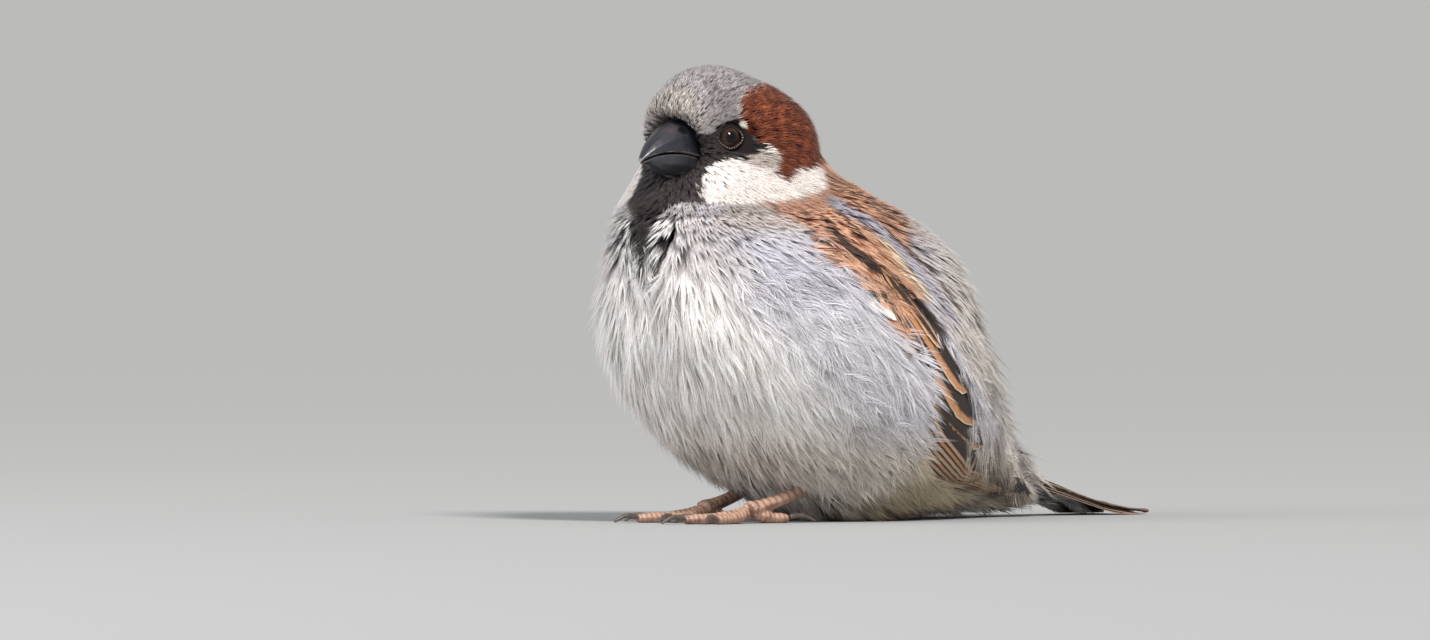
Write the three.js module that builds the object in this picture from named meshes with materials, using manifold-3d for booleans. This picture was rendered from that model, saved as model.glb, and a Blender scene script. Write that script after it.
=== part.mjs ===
// A male house sparrow, fluffed up and standing with its tail laid on the floor, at life size.
// Millimetres, +Z up. The bird faces -Y and its left side is +X. The outer surface of every
// feathered part is the outer surface of the plumage.
import * as THREE from "three";
import { mergeVertices } from "three/addons/utils/BufferGeometryUtils.js";
import Module from "manifold-3d";

const wasm = await Module();
wasm.setup();

// ---- Driving dimensions -------------------------------------------------------------------
const GAP = 0.3; // clearance between neighbouring parts
const BLEND = 5; // radius of the soft hollows between lobes of the body
const HEAD_TURN = THREE.MathUtils.degToRad(8); // the head is turned this far to the left
const HEAD = new THREE.Vector3(0, -20.8, 68); // middle of the skull
const BILL_LENGTH = 11; // from the feathering to the tip
const BILL_TIP_Z = 63.6;
const BILL_TIP_REACH = 23; // from the middle of the skull to the tip, along the head's axis
const BILL_HALF_WIDTH = 4.3;
const EYE_RADIUS = 2.9;
const EYE = { side: 6, ahead: 6, z: 68.2, splay: 25 }; // middle of the eyeball in the head's own axes
const TARSUS_LENGTH = 19.5;
const TOE_RADIUS = 1.05;
const CLAW_TIP_RADIUS = 0.27;
const TAIL_ROOT = { y: 34, z: 13.5 };
const TAIL_TIP_Y = 84;

// ---- Small helpers ------------------------------------------------------------------------
const v3 = (x, y, z) => new THREE.Vector3(x, y, z);
const lerp = THREE.MathUtils.lerp;
const radians = THREE.MathUtils.degToRad;

// Smallest of two distances with a rounded hollow of the given radius where they are equal.
function smoothMin(a, b, radius) {
  const h = Math.max(radius - Math.abs(a - b), 0) / radius;
  return Math.min(a, b) - h * h * radius * 0.25;
}

// Value at t of a smooth curve through the knots [[t, value], ...].
function through(knots, t) {
  let i = 0;
  while (i < knots.length - 2 && t > knots[i + 1][0]) i++;
  const [t0, a] = knots[i];
  const [t1, b] = knots[i + 1];
  const before = knots[Math.max(i - 1, 0)];
  const after = knots[Math.min(i + 2, knots.length - 1)];
  const m0 = ((b - before[1]) / (t1 - before[0] || 1)) * (t1 - t0);
  const m1 = ((after[1] - a) / (after[0] - t0 || 1)) * (t1 - t0);
  const u = THREE.MathUtils.clamp((t - t0) / (t1 - t0), 0, 1);
  return (
    (2 * u ** 3 - 3 * u ** 2 + 1) * a + (u ** 3 - 2 * u ** 2 + u) * m0 +
    (3 * u ** 2 - 2 * u ** 3) * b + (u ** 3 - u ** 2) * m1
  );
}

// ---- The plumage as one smooth surface ----------------------------------------------------
// Each lobe is an ellipsoid: middle, half sizes (across, along, up), pitch of its long axis
// (positive lowers the tail end) and, on the head, a turn to the left about +Z.
const ahead = v3(Math.sin(HEAD_TURN), -Math.cos(HEAD_TURN), 0);
const toSide = v3(Math.cos(HEAD_TURN), Math.sin(HEAD_TURN), 0);
const onHead = (side, forward, z) =>
  v3(HEAD.x, HEAD.y, z).addScaledVector(ahead, forward).addScaledVector(toSide, side);

function lobe(middle, half, pitch = 0, turn = 0) {
  const turned = new THREE.Matrix4().makeRotationZ(turn);
  const pitched = new THREE.Matrix4().makeRotationX(-radians(pitch));
  const inverse = turned.multiply(pitched).setPosition(middle).invert();
  return { inverse, half };
}

const bodyLobes = [
  lobe(v3(0, -0.5, 29.8), [31, 42, 25.5], 25), // belly and flanks
  lobe(v3(0, -8, 45), [25, 31.5, 20], 22), // shoulders and upper breast
  lobe(v3(0, 8, 38), [26, 20.5, 19.5]), // back
  lobe(v3(0, -24, 49), [15, 16, 13]), // bib
  lobe(v3(0, 27, 17), [17, 21, 13.5], 24), // rump
  lobe(v3(0, 38, 11), [8.5, 24, 6.5], 17), // tail coverts
];
const headLobes = [
  lobe(onHead(0, 2.2, 68.5), [10.2, 15, 12.6], 0, HEAD_TURN), // skull
  lobe(onHead(0, -7.8, 66), [14, 11.5, 12], 0, HEAD_TURN), // back of the head
  lobe(onHead(5.8, -0.5, 61), [8.2, 12.5, 8], 0, HEAD_TURN), // left cheek
  lobe(onHead(-5.8, -0.5, 61), [8.2, 12.5, 8], 0, HEAD_TURN), // right cheek
  lobe(onHead(0, 5, 56.5), [7, 9.5, 6], 0, HEAD_TURN), // chin
];
// The feathers fall away round the base of the bill and round each eye.
const headHollows = [
  lobe(onHead(0, 18.5, 66), [7, 8.5, 6], 0, HEAD_TURN),
  lobe(onHead(11, 8.4, 68.2), [3.4, 6, 4.6], 0, HEAD_TURN - radians(EYE.splay)),
  lobe(onHead(-11, 8.4, 68.2), [3.4, 6, 4.6], 0, HEAD_TURN + radians(EYE.splay)),
];

const local = v3(0, 0, 0);
function lobeDistance({ inverse, half }, p) {
  local.copy(p).applyMatrix4(inverse);
  const [a, b, c] = half;
  const k0 = Math.hypot(local.x / a, local.y / b, local.z / c);
  const k1 = Math.hypot(local.x / a ** 2, local.y / b ** 2, local.z / c ** 2);
  return k1 < 1e-9 ? -Math.min(a, b, c) : (k0 * (k0 - 1)) / k1;
}
const union = (lobes, p, radius) =>
  lobes.map((l) => lobeDistance(l, p)).reduce((a, b) => smoothMin(a, b, radius));

// The breast feathers part along the middle: a furrow down the front of the body.
const FURROW = { depth: 2.6, halfWidth: 3, lowZ: 6, highZ: 52 };
function furrow(p) {
  if (p.y > -12) return 0;
  const rise = THREE.MathUtils.smoothstep(p.z, FURROW.lowZ, FURROW.lowZ + 12);
  const fall = 1 - THREE.MathUtils.smoothstep(p.z, FURROW.highZ - 10, FURROW.highZ + 4);
  return FURROW.depth * rise * fall * Math.exp(-((p.x / FURROW.halfWidth) ** 2));
}

// Signed distance to the outside of the plumage, negative inside.
function plumage(p) {
  const body = union(bodyLobes, p, BLEND) + furrow(p);
  const head = headHollows
    .map((hollow) => lobeDistance(hollow, p))
    .reduce((solid, hollow) => -smoothMin(-solid, hollow, 2), union(headLobes, p, 4));
  return smoothMin(body, head, 2.5);
}

// Distance from a point inside, along a direction, to where the plumage's distance is offset.
function reach(from, direction, offset = 0) {
  const at = v3(0, 0, 0);
  const value = (r) => plumage(at.copy(from).addScaledVector(direction, r)) - offset;
  let inner = 0;
  let outer = 1;
  while (value(outer) < 0 && outer < 90) {
    inner = outer;
    outer += Math.max(0.5, -0.6 * value(outer));
  }
  for (let i = 0; i < 20; i++) {
    const middle = (inner + outer) / 2;
    if (value(middle) < 0) inner = middle;
    else outer = middle;
  }
  return inner;
}

// ---- From three.js geometry to closed solids ----------------------------------------------
function solid(geometry) {
  const plain = geometry.clone();
  plain.deleteAttribute("normal");
  plain.deleteAttribute("uv");
  const merged = mergeVertices(plain, 1e-4);
  const triVerts = new Uint32Array(merged.index.array);
  const vertProperties = merged.attributes.position.array;
  const made = () => new wasm.Manifold(new wasm.Mesh({ numProp: 3, vertProperties, triVerts }));
  if (made().volume() > 0) return made();
  for (let i = 0; i < triVerts.length; i += 3)
    [triVerts[i + 1], triVerts[i + 2]] = [triVerts[i + 2], triVerts[i + 1]]; // faces turned outwards
  return made();
}

function geometryOf(manifold) {
  const { vertProperties, triVerts } = manifold.getMesh();
  const geometry = new THREE.BufferGeometry();
  geometry.setAttribute("position", new THREE.Float32BufferAttribute(vertProperties, 3));
  geometry.setIndex(new THREE.Uint32BufferAttribute(triVerts, 1));
  geometry.computeVertexNormals();
  return geometry;
}

// An icosphere whose points are moved out from the middle to the plumage's surface.
function plumageBall(middle, detail) {
  const ball = new THREE.IcosahedronGeometry(1, detail);
  const points = ball.attributes.position;
  const direction = v3(0, 0, 0);
  for (let i = 0; i < points.count; i++) {
    direction.fromBufferAttribute(points, i).normalize();
    const moved = direction.clone().multiplyScalar(reach(middle, direction)).add(middle);
    points.setXYZ(i, moved.x, moved.y, moved.z);
  }
  return solid(ball);
}

// Everything on the far side of a plane through a point, as a big box.
const WORLD = 400;
function halfSpace(point, normal) {
  const n = normal.clone().normalize();
  const box = new THREE.BoxGeometry(WORLD, WORLD, WORLD).toNonIndexed();
  const place = new THREE.Matrix4().makeTranslation(0, 0, WORLD / 2);
  const turn = new THREE.Quaternion().setFromUnitVectors(v3(0, 0, 1), n);
  place.premultiply(new THREE.Matrix4().makeRotationFromQuaternion(turn));
  place.premultiply(new THREE.Matrix4().makeTranslation(point.x, point.y, point.z));
  return solid(box.applyMatrix4(place));
}
// A cut takes half the gap from the piece on each side of it.
const beyond = (piece, point, normal) =>
  piece.intersect(
    halfSpace(point.clone().addScaledVector(normal.clone().normalize(), GAP / 2), normal),
  );

// A cylinder of rings x sides, remapped: place(t, angle, rim) gives a point for t from 0 to 1
// along it, where rim is 1 on the wall and 0 at the middle of each end.
function loft(rings, sides, place) {
  const tube = new THREE.CylinderGeometry(1, 1, 1, sides, rings);
  const points = tube.attributes.position;
  for (let i = 0; i < points.count; i++) {
    const rim = Math.hypot(points.getX(i), points.getZ(i)) > 0.5 ? 1 : 0;
    const angle = Math.atan2(points.getX(i), points.getZ(i));
    const p = place(0.5 - points.getY(i), angle, rim);
    points.setXYZ(i, p.x, p.y, p.z);
  }
  return solid(tube);
}

// A limb: round sections along a curve, flattened where they would go below the floor.
function limb(path, radii, rings, sides, grow = 0) {
  const curve = new THREE.CatmullRomCurve3(path);
  return loft(rings, sides, (t, angle, rim) => {
    const stretched = t * (1 + (2 * grow) / curve.getLength()) - grow / curve.getLength();
    const at = curve.getPoint(THREE.MathUtils.clamp(stretched, 0, 1));
    const along = curve.getTangent(THREE.MathUtils.clamp(stretched, 0, 1));
    at.addScaledVector(along, (stretched - THREE.MathUtils.clamp(stretched, 0, 1)) * curve.getLength());
    const across = v3(0, 0, 1).cross(along).normalize();
    const up = along.clone().cross(across).normalize();
    const r = through(radii, t) + grow;
    at.addScaledVector(across, rim * r * Math.sin(-angle));
    at.addScaledVector(up, rim * r * Math.cos(angle));
    at.z = Math.max(at.z, grow ? -grow : 0);
    return at;
  });
}

const group = new THREE.Group();
const finish = {
  grey: { color: 0x9b948d, roughness: 0.9 },
  pale: { color: 0xc9c3ba, roughness: 0.9 },
  chestnut: { color: 0x7a4426, roughness: 0.85 },
  dusk: { color: 0x4a4038, roughness: 0.7 },
  bill: { color: 0x24252b, roughness: 0.35 },
  eye: { color: 0x1c120c, roughness: 0.05 },
  leg: { color: 0xb07a5c, roughness: 0.55 },
  claw: { color: 0x4b403b, roughness: 0.4 },
};
function add(name, manifold, look) {
  const material = new THREE.MeshStandardMaterial({ ...finish[look], metalness: 0 });
  const mesh = new THREE.Mesh(geometryOf(manifold), material);
  mesh.name = name;
  group.add(mesh);
}

// ---- Wings --------------------------------------------------------------------------------
// A folded wing lies on the plumage. It is laid out round a line through the body from the
// shoulders to the tail: s in mm along that line, and an angle from the back (0) to the side (90).
const SPINE = { from: v3(0, -14, 50), to: v3(0, 52, 7) };
const spineWay = SPINE.to.clone().sub(SPINE.from).normalize();
const backWay = v3(1, 0, 0).cross(spineWay).normalize();
const WING = {
  from: -4.5,
  to: 80,
  middle: [[0, 89], [0.12, 96], [0.3, 104], [0.5, 112], [0.7, 115], [0.85, 112], [1, 106]], // degrees
  half: [[0, 4.5], [0.12, 8], [0.4, 8.5], [0.7, 7], [0.9, 4.2], [1, 1.4]], // mm across
  proud: 0.7,
  deep: [[0, 2.2], [0.5, 2], [1, 0.8]],
};
const WING_TIP_OUT = 7.5; // the tips stand off the line by this much, beside the tail
function wing(sign, grow = 0) {
  return loft(14, 8, (t, angle, rim) => {
    const s = lerp(WING.from - grow, WING.to + grow, t);
    const from = SPINE.from.clone().addScaledVector(spineWay, s);
    const middle = radians(through(WING.middle, t));
    const outAt = (phi) =>
      backWay.clone().multiplyScalar(Math.cos(phi)).addScaledVector(v3(sign, 0, 0), Math.sin(phi));
    const r = Math.max(reach(from, outAt(middle)), WING_TIP_OUT);
    const chord = rim * Math.sin(angle) * -sign * (through(WING.half, t) + grow);
    const out = outAt(middle + chord / r);
    const thick = rim * Math.cos(angle);
    const layer = thick > 0 ? WING.proud + grow : through(WING.deep, t) + grow;
    return from.addScaledVector(out, Math.max(reach(from, out), WING_TIP_OUT) + thick * layer);
  });
}

// ---- Tail ---------------------------------------------------------------------------------
// Twelve closed feathers as one blade, laid on the floor at its tip.
const TAIL = {
  halfWidth: [[0, 5], [0.4, 6], [1, 8.2]],
  halfThick: [[0, 2.2], [0.5, 1.5], [1, 0.75]],
  z: [[0, TAIL_ROOT.z], [0.45, 6.8], [0.8, 2], [1, 0.6]],
  notch: 1.6,
};
function tail(grow = 0) {
  return loft(12, 10, (t, angle, rim) => {
    const across = rim * Math.sin(-angle);
    const up = rim * Math.cos(angle);
    const halfWidth = through(TAIL.halfWidth, t) + grow;
    const y = lerp(TAIL_ROOT.y - grow, TAIL_TIP_Y + grow, t);
    const x = halfWidth * Math.sign(across) * Math.abs(across) ** 0.7;
    const z = through(TAIL.z, t) + (through(TAIL.halfThick, t) + grow) * up * (1 - 0.25 * across ** 2);
    return v3(x, y - TAIL.notch * t * (1 - Math.abs(across)), Math.max(z, -grow));
  });
}

// ---- Legs ---------------------------------------------------------------------------------
// The foot's middle is where the toes meet. Toes are laid out in the foot's own axes.
const FEET = {
  left: { sign: 1, at: v3(7, -20, 2.2), turn: -12, hock: v3(9, -2.2, 8.2) },
  right: { sign: -1, at: v3(-7, -17.5, 2.2), turn: -14, hock: v3(-9, 0.3, 8.2) },
};
// Each toe: angle from straight ahead (positive spreads outwards), length and claw length.
const TOES = {
  inner: { angle: -24, length: 9.5, claw: 4.4 },
  middle: { angle: 0, length: 13.5, claw: 5 },
  outer: { angle: 22, length: 10, claw: 4.2 },
  hind: { angle: 178, length: 8, claw: 6 },
};
const TARSUS_RADII = [[0, 1.7], [0.12, 1.35], [0.6, 1.15], [0.85, 1.3], [1, 1.75]];

function toePoint(foot, toe, distance, z) {
  const way = radians(foot.turn + foot.sign * toe.angle);
  return foot.at.clone().setZ(z).add(v3(Math.sin(way), -Math.cos(way), 0).multiplyScalar(distance));
}
function toe(foot, form, grow = 0) {
  const root = toePoint(foot, form, 0.4, 1.9);
  const knuckle = toePoint(foot, form, form.length * 0.45, 1);
  const end = toePoint(foot, form, form.length, 0.75);
  const pads = [[0, 1.3], [0.3, TOE_RADIUS], [0.45, TOE_RADIUS * 1.12], [0.62, 0.92], [0.82, 1.02], [1, 0.72]];
  return limb([root, knuckle, end], pads, 8, 8, grow);
}
function claw(foot, form, grow = 0) {
  const from = form.length + GAP;
  const root = toePoint(foot, form, from, 1.05);
  const crest = toePoint(foot, form, from + form.claw * 0.45, 1.35);
  const tip = toePoint(foot, form, from + form.claw * 0.92, CLAW_TIP_RADIUS * 0.8);
  return limb([root, crest, tip], [[0, 0.62], [0.4, 0.52], [1, CLAW_TIP_RADIUS]], 5, 6, grow);
}
const tarsus = (foot, grow = 0) => {
  const way = foot.hock.clone().sub(foot.at).setLength(TARSUS_LENGTH);
  const top = foot.at.clone().add(way);
  const middle = foot.at.clone().lerp(top, 0.5).add(v3(0, 0.4, -0.5));
  return limb([top, middle, foot.at], TARSUS_RADII, 8, 8, grow);
};

// ---- Bill ---------------------------------------------------------------------------------
// Each half is a half-round horn from its base in the feathers to the tip. Heights of the
// culmen are above the mouth line and those of the gonys below it.
const BILL = {
  back: 3, // how far the horn runs on inside the feathers
  mouth: [[0, 0.8], [0.16, 1.2], [0.35, 1.7], [0.6, 1.8], [0.82, 1.3], [1, 0]], // rise over the tip
  culmen: [[0, 6.8], [0.2, 6.3], [0.39, 5.5], [0.57, 4.1], [0.76, 2.5], [0.9, 1.3], [1, 0.4]],
  gonys: [[0, 3.2], [0.3, 3.6], [0.5, 3.6], [0.65, 3.1], [0.83, 1.9], [1, 0.3]],
  halfWidth: [[0, 4.6], [0.2, BILL_HALF_WIDTH], [0.4, 3.8], [0.6, 3], [0.8, 1.8], [1, 0.35]],
};
const LOWER_BILL_SHORTER = 0.5;
const LOWER_BILL_NARROWER = 0.9;
function billHalf(upper, grow = 0) {
  const length = BILL_LENGTH + BILL.back;
  return loft(10, 12, (t, angle, rim) => {
    const tip = BILL_TIP_REACH - (upper ? 0 : LOWER_BILL_SHORTER);
    const forward = lerp(BILL_TIP_REACH - length - grow, tip + grow, t);
    const width = through(BILL.halfWidth, t) * (upper ? 1 : LOWER_BILL_NARROWER);
    const side = rim * Math.sin(-angle) * (width + grow);
    const height = through(upper ? BILL.culmen : BILL.gonys, t) + grow;
    const up = rim * Math.cos(angle);
    const away = upper ? up : -up;
    const rise = away > 0 ? away * height : away * 0.12 * (1 - t) + (away < 0 ? -grow : 0);
    const mouth = BILL_TIP_Z + through(BILL.mouth, t) + (upper ? 1 : -1) * (GAP / 2 + 0.08);
    return onHead(side, forward, mouth + (upper ? rise : -rise));
  });
}

// ---- Assembly -----------------------------------------------------------------------------
const sides = [["left", 1], ["right", -1]];
const eyeMiddle = (sign) => onHead(sign * EYE.side, EYE.ahead, EYE.z);
const eyeBall = (sign, radius, detail) => {
  const { x, y, z } = eyeMiddle(sign);
  return solid(new THREE.IcosahedronGeometry(radius, detail).translate(x, y, z));
};

// The planes that part head from neck, neck from trunk and trunk from rump.
const NECK_TOP = { point: v3(0, -15, 58.5), normal: v3(0, -0.12, 1) };
const NECK_FOOT = { point: v3(0, -14, 53.5), normal: v3(0, -0.16, 1) };
const RUMP = { point: v3(0, 31, 15), normal: v3(0, 1, -0.35) };
const flipped = (plane) => plane.normal.clone().negate();

let head = beyond(plumageBall(HEAD, 7), NECK_TOP.point, NECK_TOP.normal);
let neck = beyond(plumageBall(v3(0, -15, 56), 7), NECK_FOOT.point, NECK_FOOT.normal);
neck = beyond(neck, NECK_TOP.point, flipped(NECK_TOP));
let trunk = beyond(plumageBall(v3(0, -4, 32), 9), NECK_FOOT.point, flipped(NECK_FOOT));
trunk = beyond(trunk, RUMP.point, flipped(RUMP));
let rump = beyond(plumageBall(v3(0, 32, 13), 5), RUMP.point, RUMP.normal);

for (const [, sign] of sides) {
  head = head.subtract(eyeBall(sign, EYE_RADIUS + GAP, 1));
  const pocket = wing(sign, GAP);
  trunk = trunk.subtract(pocket);
  rump = rump.subtract(pocket);
  neck = neck.subtract(pocket);
}
for (const upper of [true, false]) head = head.subtract(billHalf(upper, GAP));
for (const foot of Object.values(FEET)) trunk = trunk.subtract(tarsus(foot, GAP));
rump = rump.subtract(tail(GAP));
trunk = trunk.subtract(tail(GAP));

add("head", head, "grey");
add("neck", neck, "pale");
add("trunk", trunk, "pale");
add("rump", rump, "grey");
add("bill_upper", billHalf(true), "bill");
add("bill_lower", billHalf(false), "bill");
add("tail", tail(), "dusk");

const WING_PART = { point: SPINE.from.clone().addScaledVector(spineWay, 46), normal: spineWay };
for (const [side, sign] of sides) {
  add("eye_" + side, eyeBall(sign, EYE_RADIUS, 2), "eye");
  let blade = wing(sign).subtract(tail(GAP));
  const front = beyond(blade, WING_PART.point, flipped(WING_PART));
  const rear = beyond(blade, WING_PART.point, WING_PART.normal);
  add("wing_" + side + "_coverts", front, "chestnut");
  add("wing_" + side + "_flight", rear, "dusk");

  const foot = FEET[side];
  add("tarsus_" + side, tarsus(foot), "leg");
  let taken = tarsus(foot, GAP);
  for (const [name, form] of Object.entries(TOES)) {
    const made = toe(foot, form).subtract(taken);
    add("toe_" + side + "_" + name, made.decompose()[0], "leg");
    add("claw_" + side + "_" + name, claw(foot, form), "claw");
    taken = taken.add(toe(foot, form, GAP));
  }
}

// The origin is the middle of the footprint, on the floor.
const box = new THREE.Box3().setFromObject(group);
const middle = box.getCenter(v3(0, 0, 0));
for (const mesh of group.children) mesh.geometry.translate(-middle.x, -middle.y, -box.min.z);

export default group;
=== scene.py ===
"""A male house sparrow, fluffed up, life size.

Skin, plumage, bill, eyes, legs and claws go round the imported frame.
"""
import math

import bpy
import numpy as np
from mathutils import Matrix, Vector, bvhtree, kdtree


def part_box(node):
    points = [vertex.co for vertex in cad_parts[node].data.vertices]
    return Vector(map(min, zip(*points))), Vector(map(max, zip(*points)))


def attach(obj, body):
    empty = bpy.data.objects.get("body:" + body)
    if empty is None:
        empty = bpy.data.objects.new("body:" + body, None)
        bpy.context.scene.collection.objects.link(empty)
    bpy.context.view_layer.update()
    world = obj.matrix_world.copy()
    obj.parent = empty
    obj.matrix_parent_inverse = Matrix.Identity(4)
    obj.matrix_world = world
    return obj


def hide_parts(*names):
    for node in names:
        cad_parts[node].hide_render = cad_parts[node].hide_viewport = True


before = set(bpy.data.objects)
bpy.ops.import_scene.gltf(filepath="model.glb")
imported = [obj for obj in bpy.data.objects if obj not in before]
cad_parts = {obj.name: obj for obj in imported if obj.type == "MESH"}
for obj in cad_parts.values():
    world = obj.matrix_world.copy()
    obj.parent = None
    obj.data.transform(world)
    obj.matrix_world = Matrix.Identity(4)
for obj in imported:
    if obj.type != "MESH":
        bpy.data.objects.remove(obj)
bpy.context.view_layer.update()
scene = bpy.context.scene
rng = np.random.default_rng(41)

# ---- the bird's own measure
# Shapes are worked out in the part's own millimetres: its front is -Y, its left is +X, the floor is z = 0.
MM = 0.001
TAIL_END_Y = 84.0  # where the tail ends in the part's own drawing
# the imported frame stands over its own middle, so the tail's end says how far the drawing was moved
shift = np.array([0.0, TAIL_END_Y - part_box("tail")[1].y / MM, 0.0])

HEAD = np.array([0.0, -20.8])  # the head's upright middle line, seen from above
HEAD_TURN = math.radians(8)
AHEAD = np.array([math.sin(HEAD_TURN), -math.cos(HEAD_TURN), 0.0])
TO_SIDE = np.array([math.cos(HEAD_TURN), math.sin(HEAD_TURN), 0.0])
HEAD_REACH, HEAD_COAT_REACH = 26, 24  # how far out from that line the head's markings and its coat go
EYE_RADIUS, EYE_SIDE, EYE_AHEAD, EYE_Z, EYE_SPLAY = 2.9, 6.0, 6.0, 68.2, math.radians(25)
EYE_SEEN = (6.4, 68.3)  # the middle of the eye's opening: forward, height
CREASE = ([-16, -11, -6, 0, 8, 15], [62.0, 61.3, 58.9, 57.3, 56.2, 56.0])  # height where head meets neck
# the spine runs from between the shoulders down to the tail, and BACK_WAY points out of the back
SPINE_FROM = np.array([0.0, -14.0, 50.0])
SPINE_WAY = np.array([0.0, 0.838, -0.546])
BACK_WAY = np.array([0.0, 0.546, 0.838])
WING_START, WING_END = -4.5, 80.0  # the folded wing's band, along the spine
WING_MIDDLE = ([0, 0.12, 0.3, 0.5, 0.7, 0.85, 1], [89, 96, 104, 112, 115, 112, 106])  # degrees from the back
WING_HALF = ([0, 0.12, 0.4, 0.7, 0.9, 1], [4.5, 8, 8.5, 7, 4.2, 1.4])  # half width in mm
SIDES = {"left": 1, "right": -1}


def on_head(side, forward, z):
    """A point by its place as seen from the turned head."""
    p = side * TO_SIDE + forward * AHEAD
    return np.array([HEAD[0] + p[0], HEAD[1] + p[1], z])


def to_frame(points):
    return (np.asarray(points) - shift) * MM


def from_frame(points):
    return np.asarray(points) / MM + shift


def smooth(x, low, high):
    """A soft edge: 0 up to low, 1 from high on."""
    t = np.clip((np.asarray(x, float) - low) / (high - low), 0, 1)
    return t * t * (3 - 2 * t)


def unit(v):
    return v / np.maximum(np.linalg.norm(v, axis=-1, keepdims=True), 1e-9)


def dot(a, b):
    return np.sum(a * b, axis=-1)


def blend(a, b, share):
    """Goes from a to b by a share from 0 to 1, one share for each row."""
    return a + (b - a) * np.clip(share, 0, 1)[..., None]


def tint(code):
    """sRGB hex to linear light."""
    c = np.array([int(code[i:i + 2], 16) for i in (1, 3, 5)]) / 255
    return np.where(c <= 0.04045, c / 12.92, ((c + 0.055) / 1.055) ** 2.4)


def head_place(points):
    """Side, forward and height of points, as seen from the turned head."""
    d = points[:, :2] - HEAD
    return d @ TO_SIDE[:2], d @ AHEAD[:2], points[:, 2]


def above_crease(forward, z):
    """Height above the fold where the head meets the neck."""
    return z - np.interp(forward, *CREASE)


def from_eye(side, forward, z):
    """Distance from the middle of an eye's opening, and far away in the middle of the head."""
    return np.hypot(forward - EYE_SEEN[0], z - EYE_SEEN[1]) + 50 * (np.abs(side) < 4)


def spine_place(points):
    """How far down the spine, degrees round from the back, and the distance out from the spine."""
    q = points - SPINE_FROM
    out = q @ BACK_WAY
    return q @ SPINE_WAY, np.degrees(np.arctan2(np.abs(points[:, 0]), out)), np.hypot(points[:, 0], out)


def band_at(s):
    """The wing's band at a place along the spine: its middle in degrees and its half width in mm."""
    t = (s - WING_START) / (WING_END - WING_START)
    return np.interp(t, *WING_MIDDLE), np.interp(t, *WING_HALF)


def wing_place(points):
    """Where points are on the wing's band: how far along in mm, and across from -1 (back) to 1 (flank)."""
    s, turn, r = spine_place(points)
    middle, half = band_at(s)
    return s, np.radians(turn - middle) * r / half


def inside(x, y, outline):
    """Distance inside a closed outline, in mm. It is below 0 outside."""
    best, odd = np.full(len(x), 1e9), np.zeros(len(x), bool)
    for (ax, ay), (bx, by) in zip(outline, outline[1:] + outline[:1]):
        ex, ey = bx - ax, by - ay
        t = np.clip(((x - ax) * ex + (y - ay) * ey) / (ex * ex + ey * ey), 0, 1)
        best = np.minimum(best, np.hypot(x - ax - t * ex, y - ay - t * ey))
        cross = (ay > y) != (by > y)
        odd ^= cross & (x < (bx - ax) * (y - ay) / (by - ay + 1e-12) + ax)
    return np.where(odd, best, -best)


WAVES, WAVE_TURN, WAVE_RISE = 14, 4.0, 4.5  # how many, radians in a patch's size, and the sum counted as 1
waves = [(rng.normal(size=3), rng.uniform(0, 6.28)) for _ in range(WAVES)]


def mottle(points, size):
    """Soft patches about size mm across, from -1 to 1."""
    total = sum(np.sin(points @ k * (WAVE_TURN / size) + p) for k, p in waves)
    return np.clip(total / WAVE_RISE, -1, 1)


# ---- camera, floor and light
CAMERA_TURN, CAMERA_RISE = math.radians(45), math.radians(0.3)
CAMERA_AWAY, FRAME_WIDTH = 2.0, 0.2554  # metres: away from the bird, and across the picture at the bird
SENSOR = 36.0  # mm, a common width
AIM_LEFT, AIM_UP = 15.2, 35.9  # mm: the picture's middle is to the left of the bird's, at this height
AIM = (-AIM_LEFT * math.cos(CAMERA_TURN), -AIM_LEFT * math.sin(CAMERA_TURN), AIM_UP)
LIT_POINT = (0, -5, 40)  # mm: the lamps face the middle of the bird
SUN_FROM = 5  # metres: a lamp further away than this is a sun

camera_data = bpy.data.cameras.new("camera")
camera = bpy.data.objects.new("camera", camera_data)
scene.collection.objects.link(camera)
camera_data.sensor_width = SENSOR
camera_data.lens = SENSOR * CAMERA_AWAY / FRAME_WIDTH
camera_data.clip_start, camera_data.clip_end = 0.1, 50


def outward(turn, rise):
    """The way from the bird to something at a turn from its front and a rise from the floor, in radians."""
    return Vector((math.sin(turn) * math.cos(rise), -math.cos(turn) * math.cos(rise), math.sin(rise)))


toward = outward(CAMERA_TURN, CAMERA_RISE)
camera.location = Vector(to_frame(AIM)) + toward * CAMERA_AWAY
camera.rotation_euler = toward.to_track_quat("Z", "Y").to_euler()
scene.camera = camera
scene.view_settings.view_transform = "Standard"


def deselect():
    if bpy.context.object and bpy.context.object.mode != "OBJECT":
        bpy.ops.object.mode_set(mode="OBJECT")
    bpy.ops.object.select_all(action="DESELECT")


def take(*objects):
    """Selects just these, the first one active."""
    deselect()
    for o in objects:
        o.select_set(True)
    bpy.context.view_layer.objects.active = objects[0]


def add(tree, kind, inputs=None, **settings):
    """Adds a node with its settings, and links or sets its inputs."""
    node = tree.nodes.new("ShaderNode" + kind)
    for key, value in settings.items():
        setattr(node, key, value)
    for key, value in (inputs or {}).items():
        if isinstance(value, bpy.types.NodeSocket):
            tree.links.new(value, node.inputs[key])
        else:
            node.inputs[key].default_value = value
    return node


def material(name):
    m = bpy.data.materials.new(name)
    m.use_nodes = True
    m.node_tree.nodes.clear()
    return m, m.node_tree


def finish_surface(tree, inputs, height=None, strength=1.0, deep=0.0):
    """Ends a material in a surface with these inputs, and with bumps deep mm deep where a height is given."""
    if height:
        bump = add(tree, "Bump", {"Height": height, "Strength": strength, "Distance": deep * MM})
        inputs["Normal"] = bump.outputs["Normal"]
    body = add(tree, "BsdfPrincipled", inputs)
    add(tree, "OutputMaterial", {"Surface": body.outputs[0]})


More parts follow.
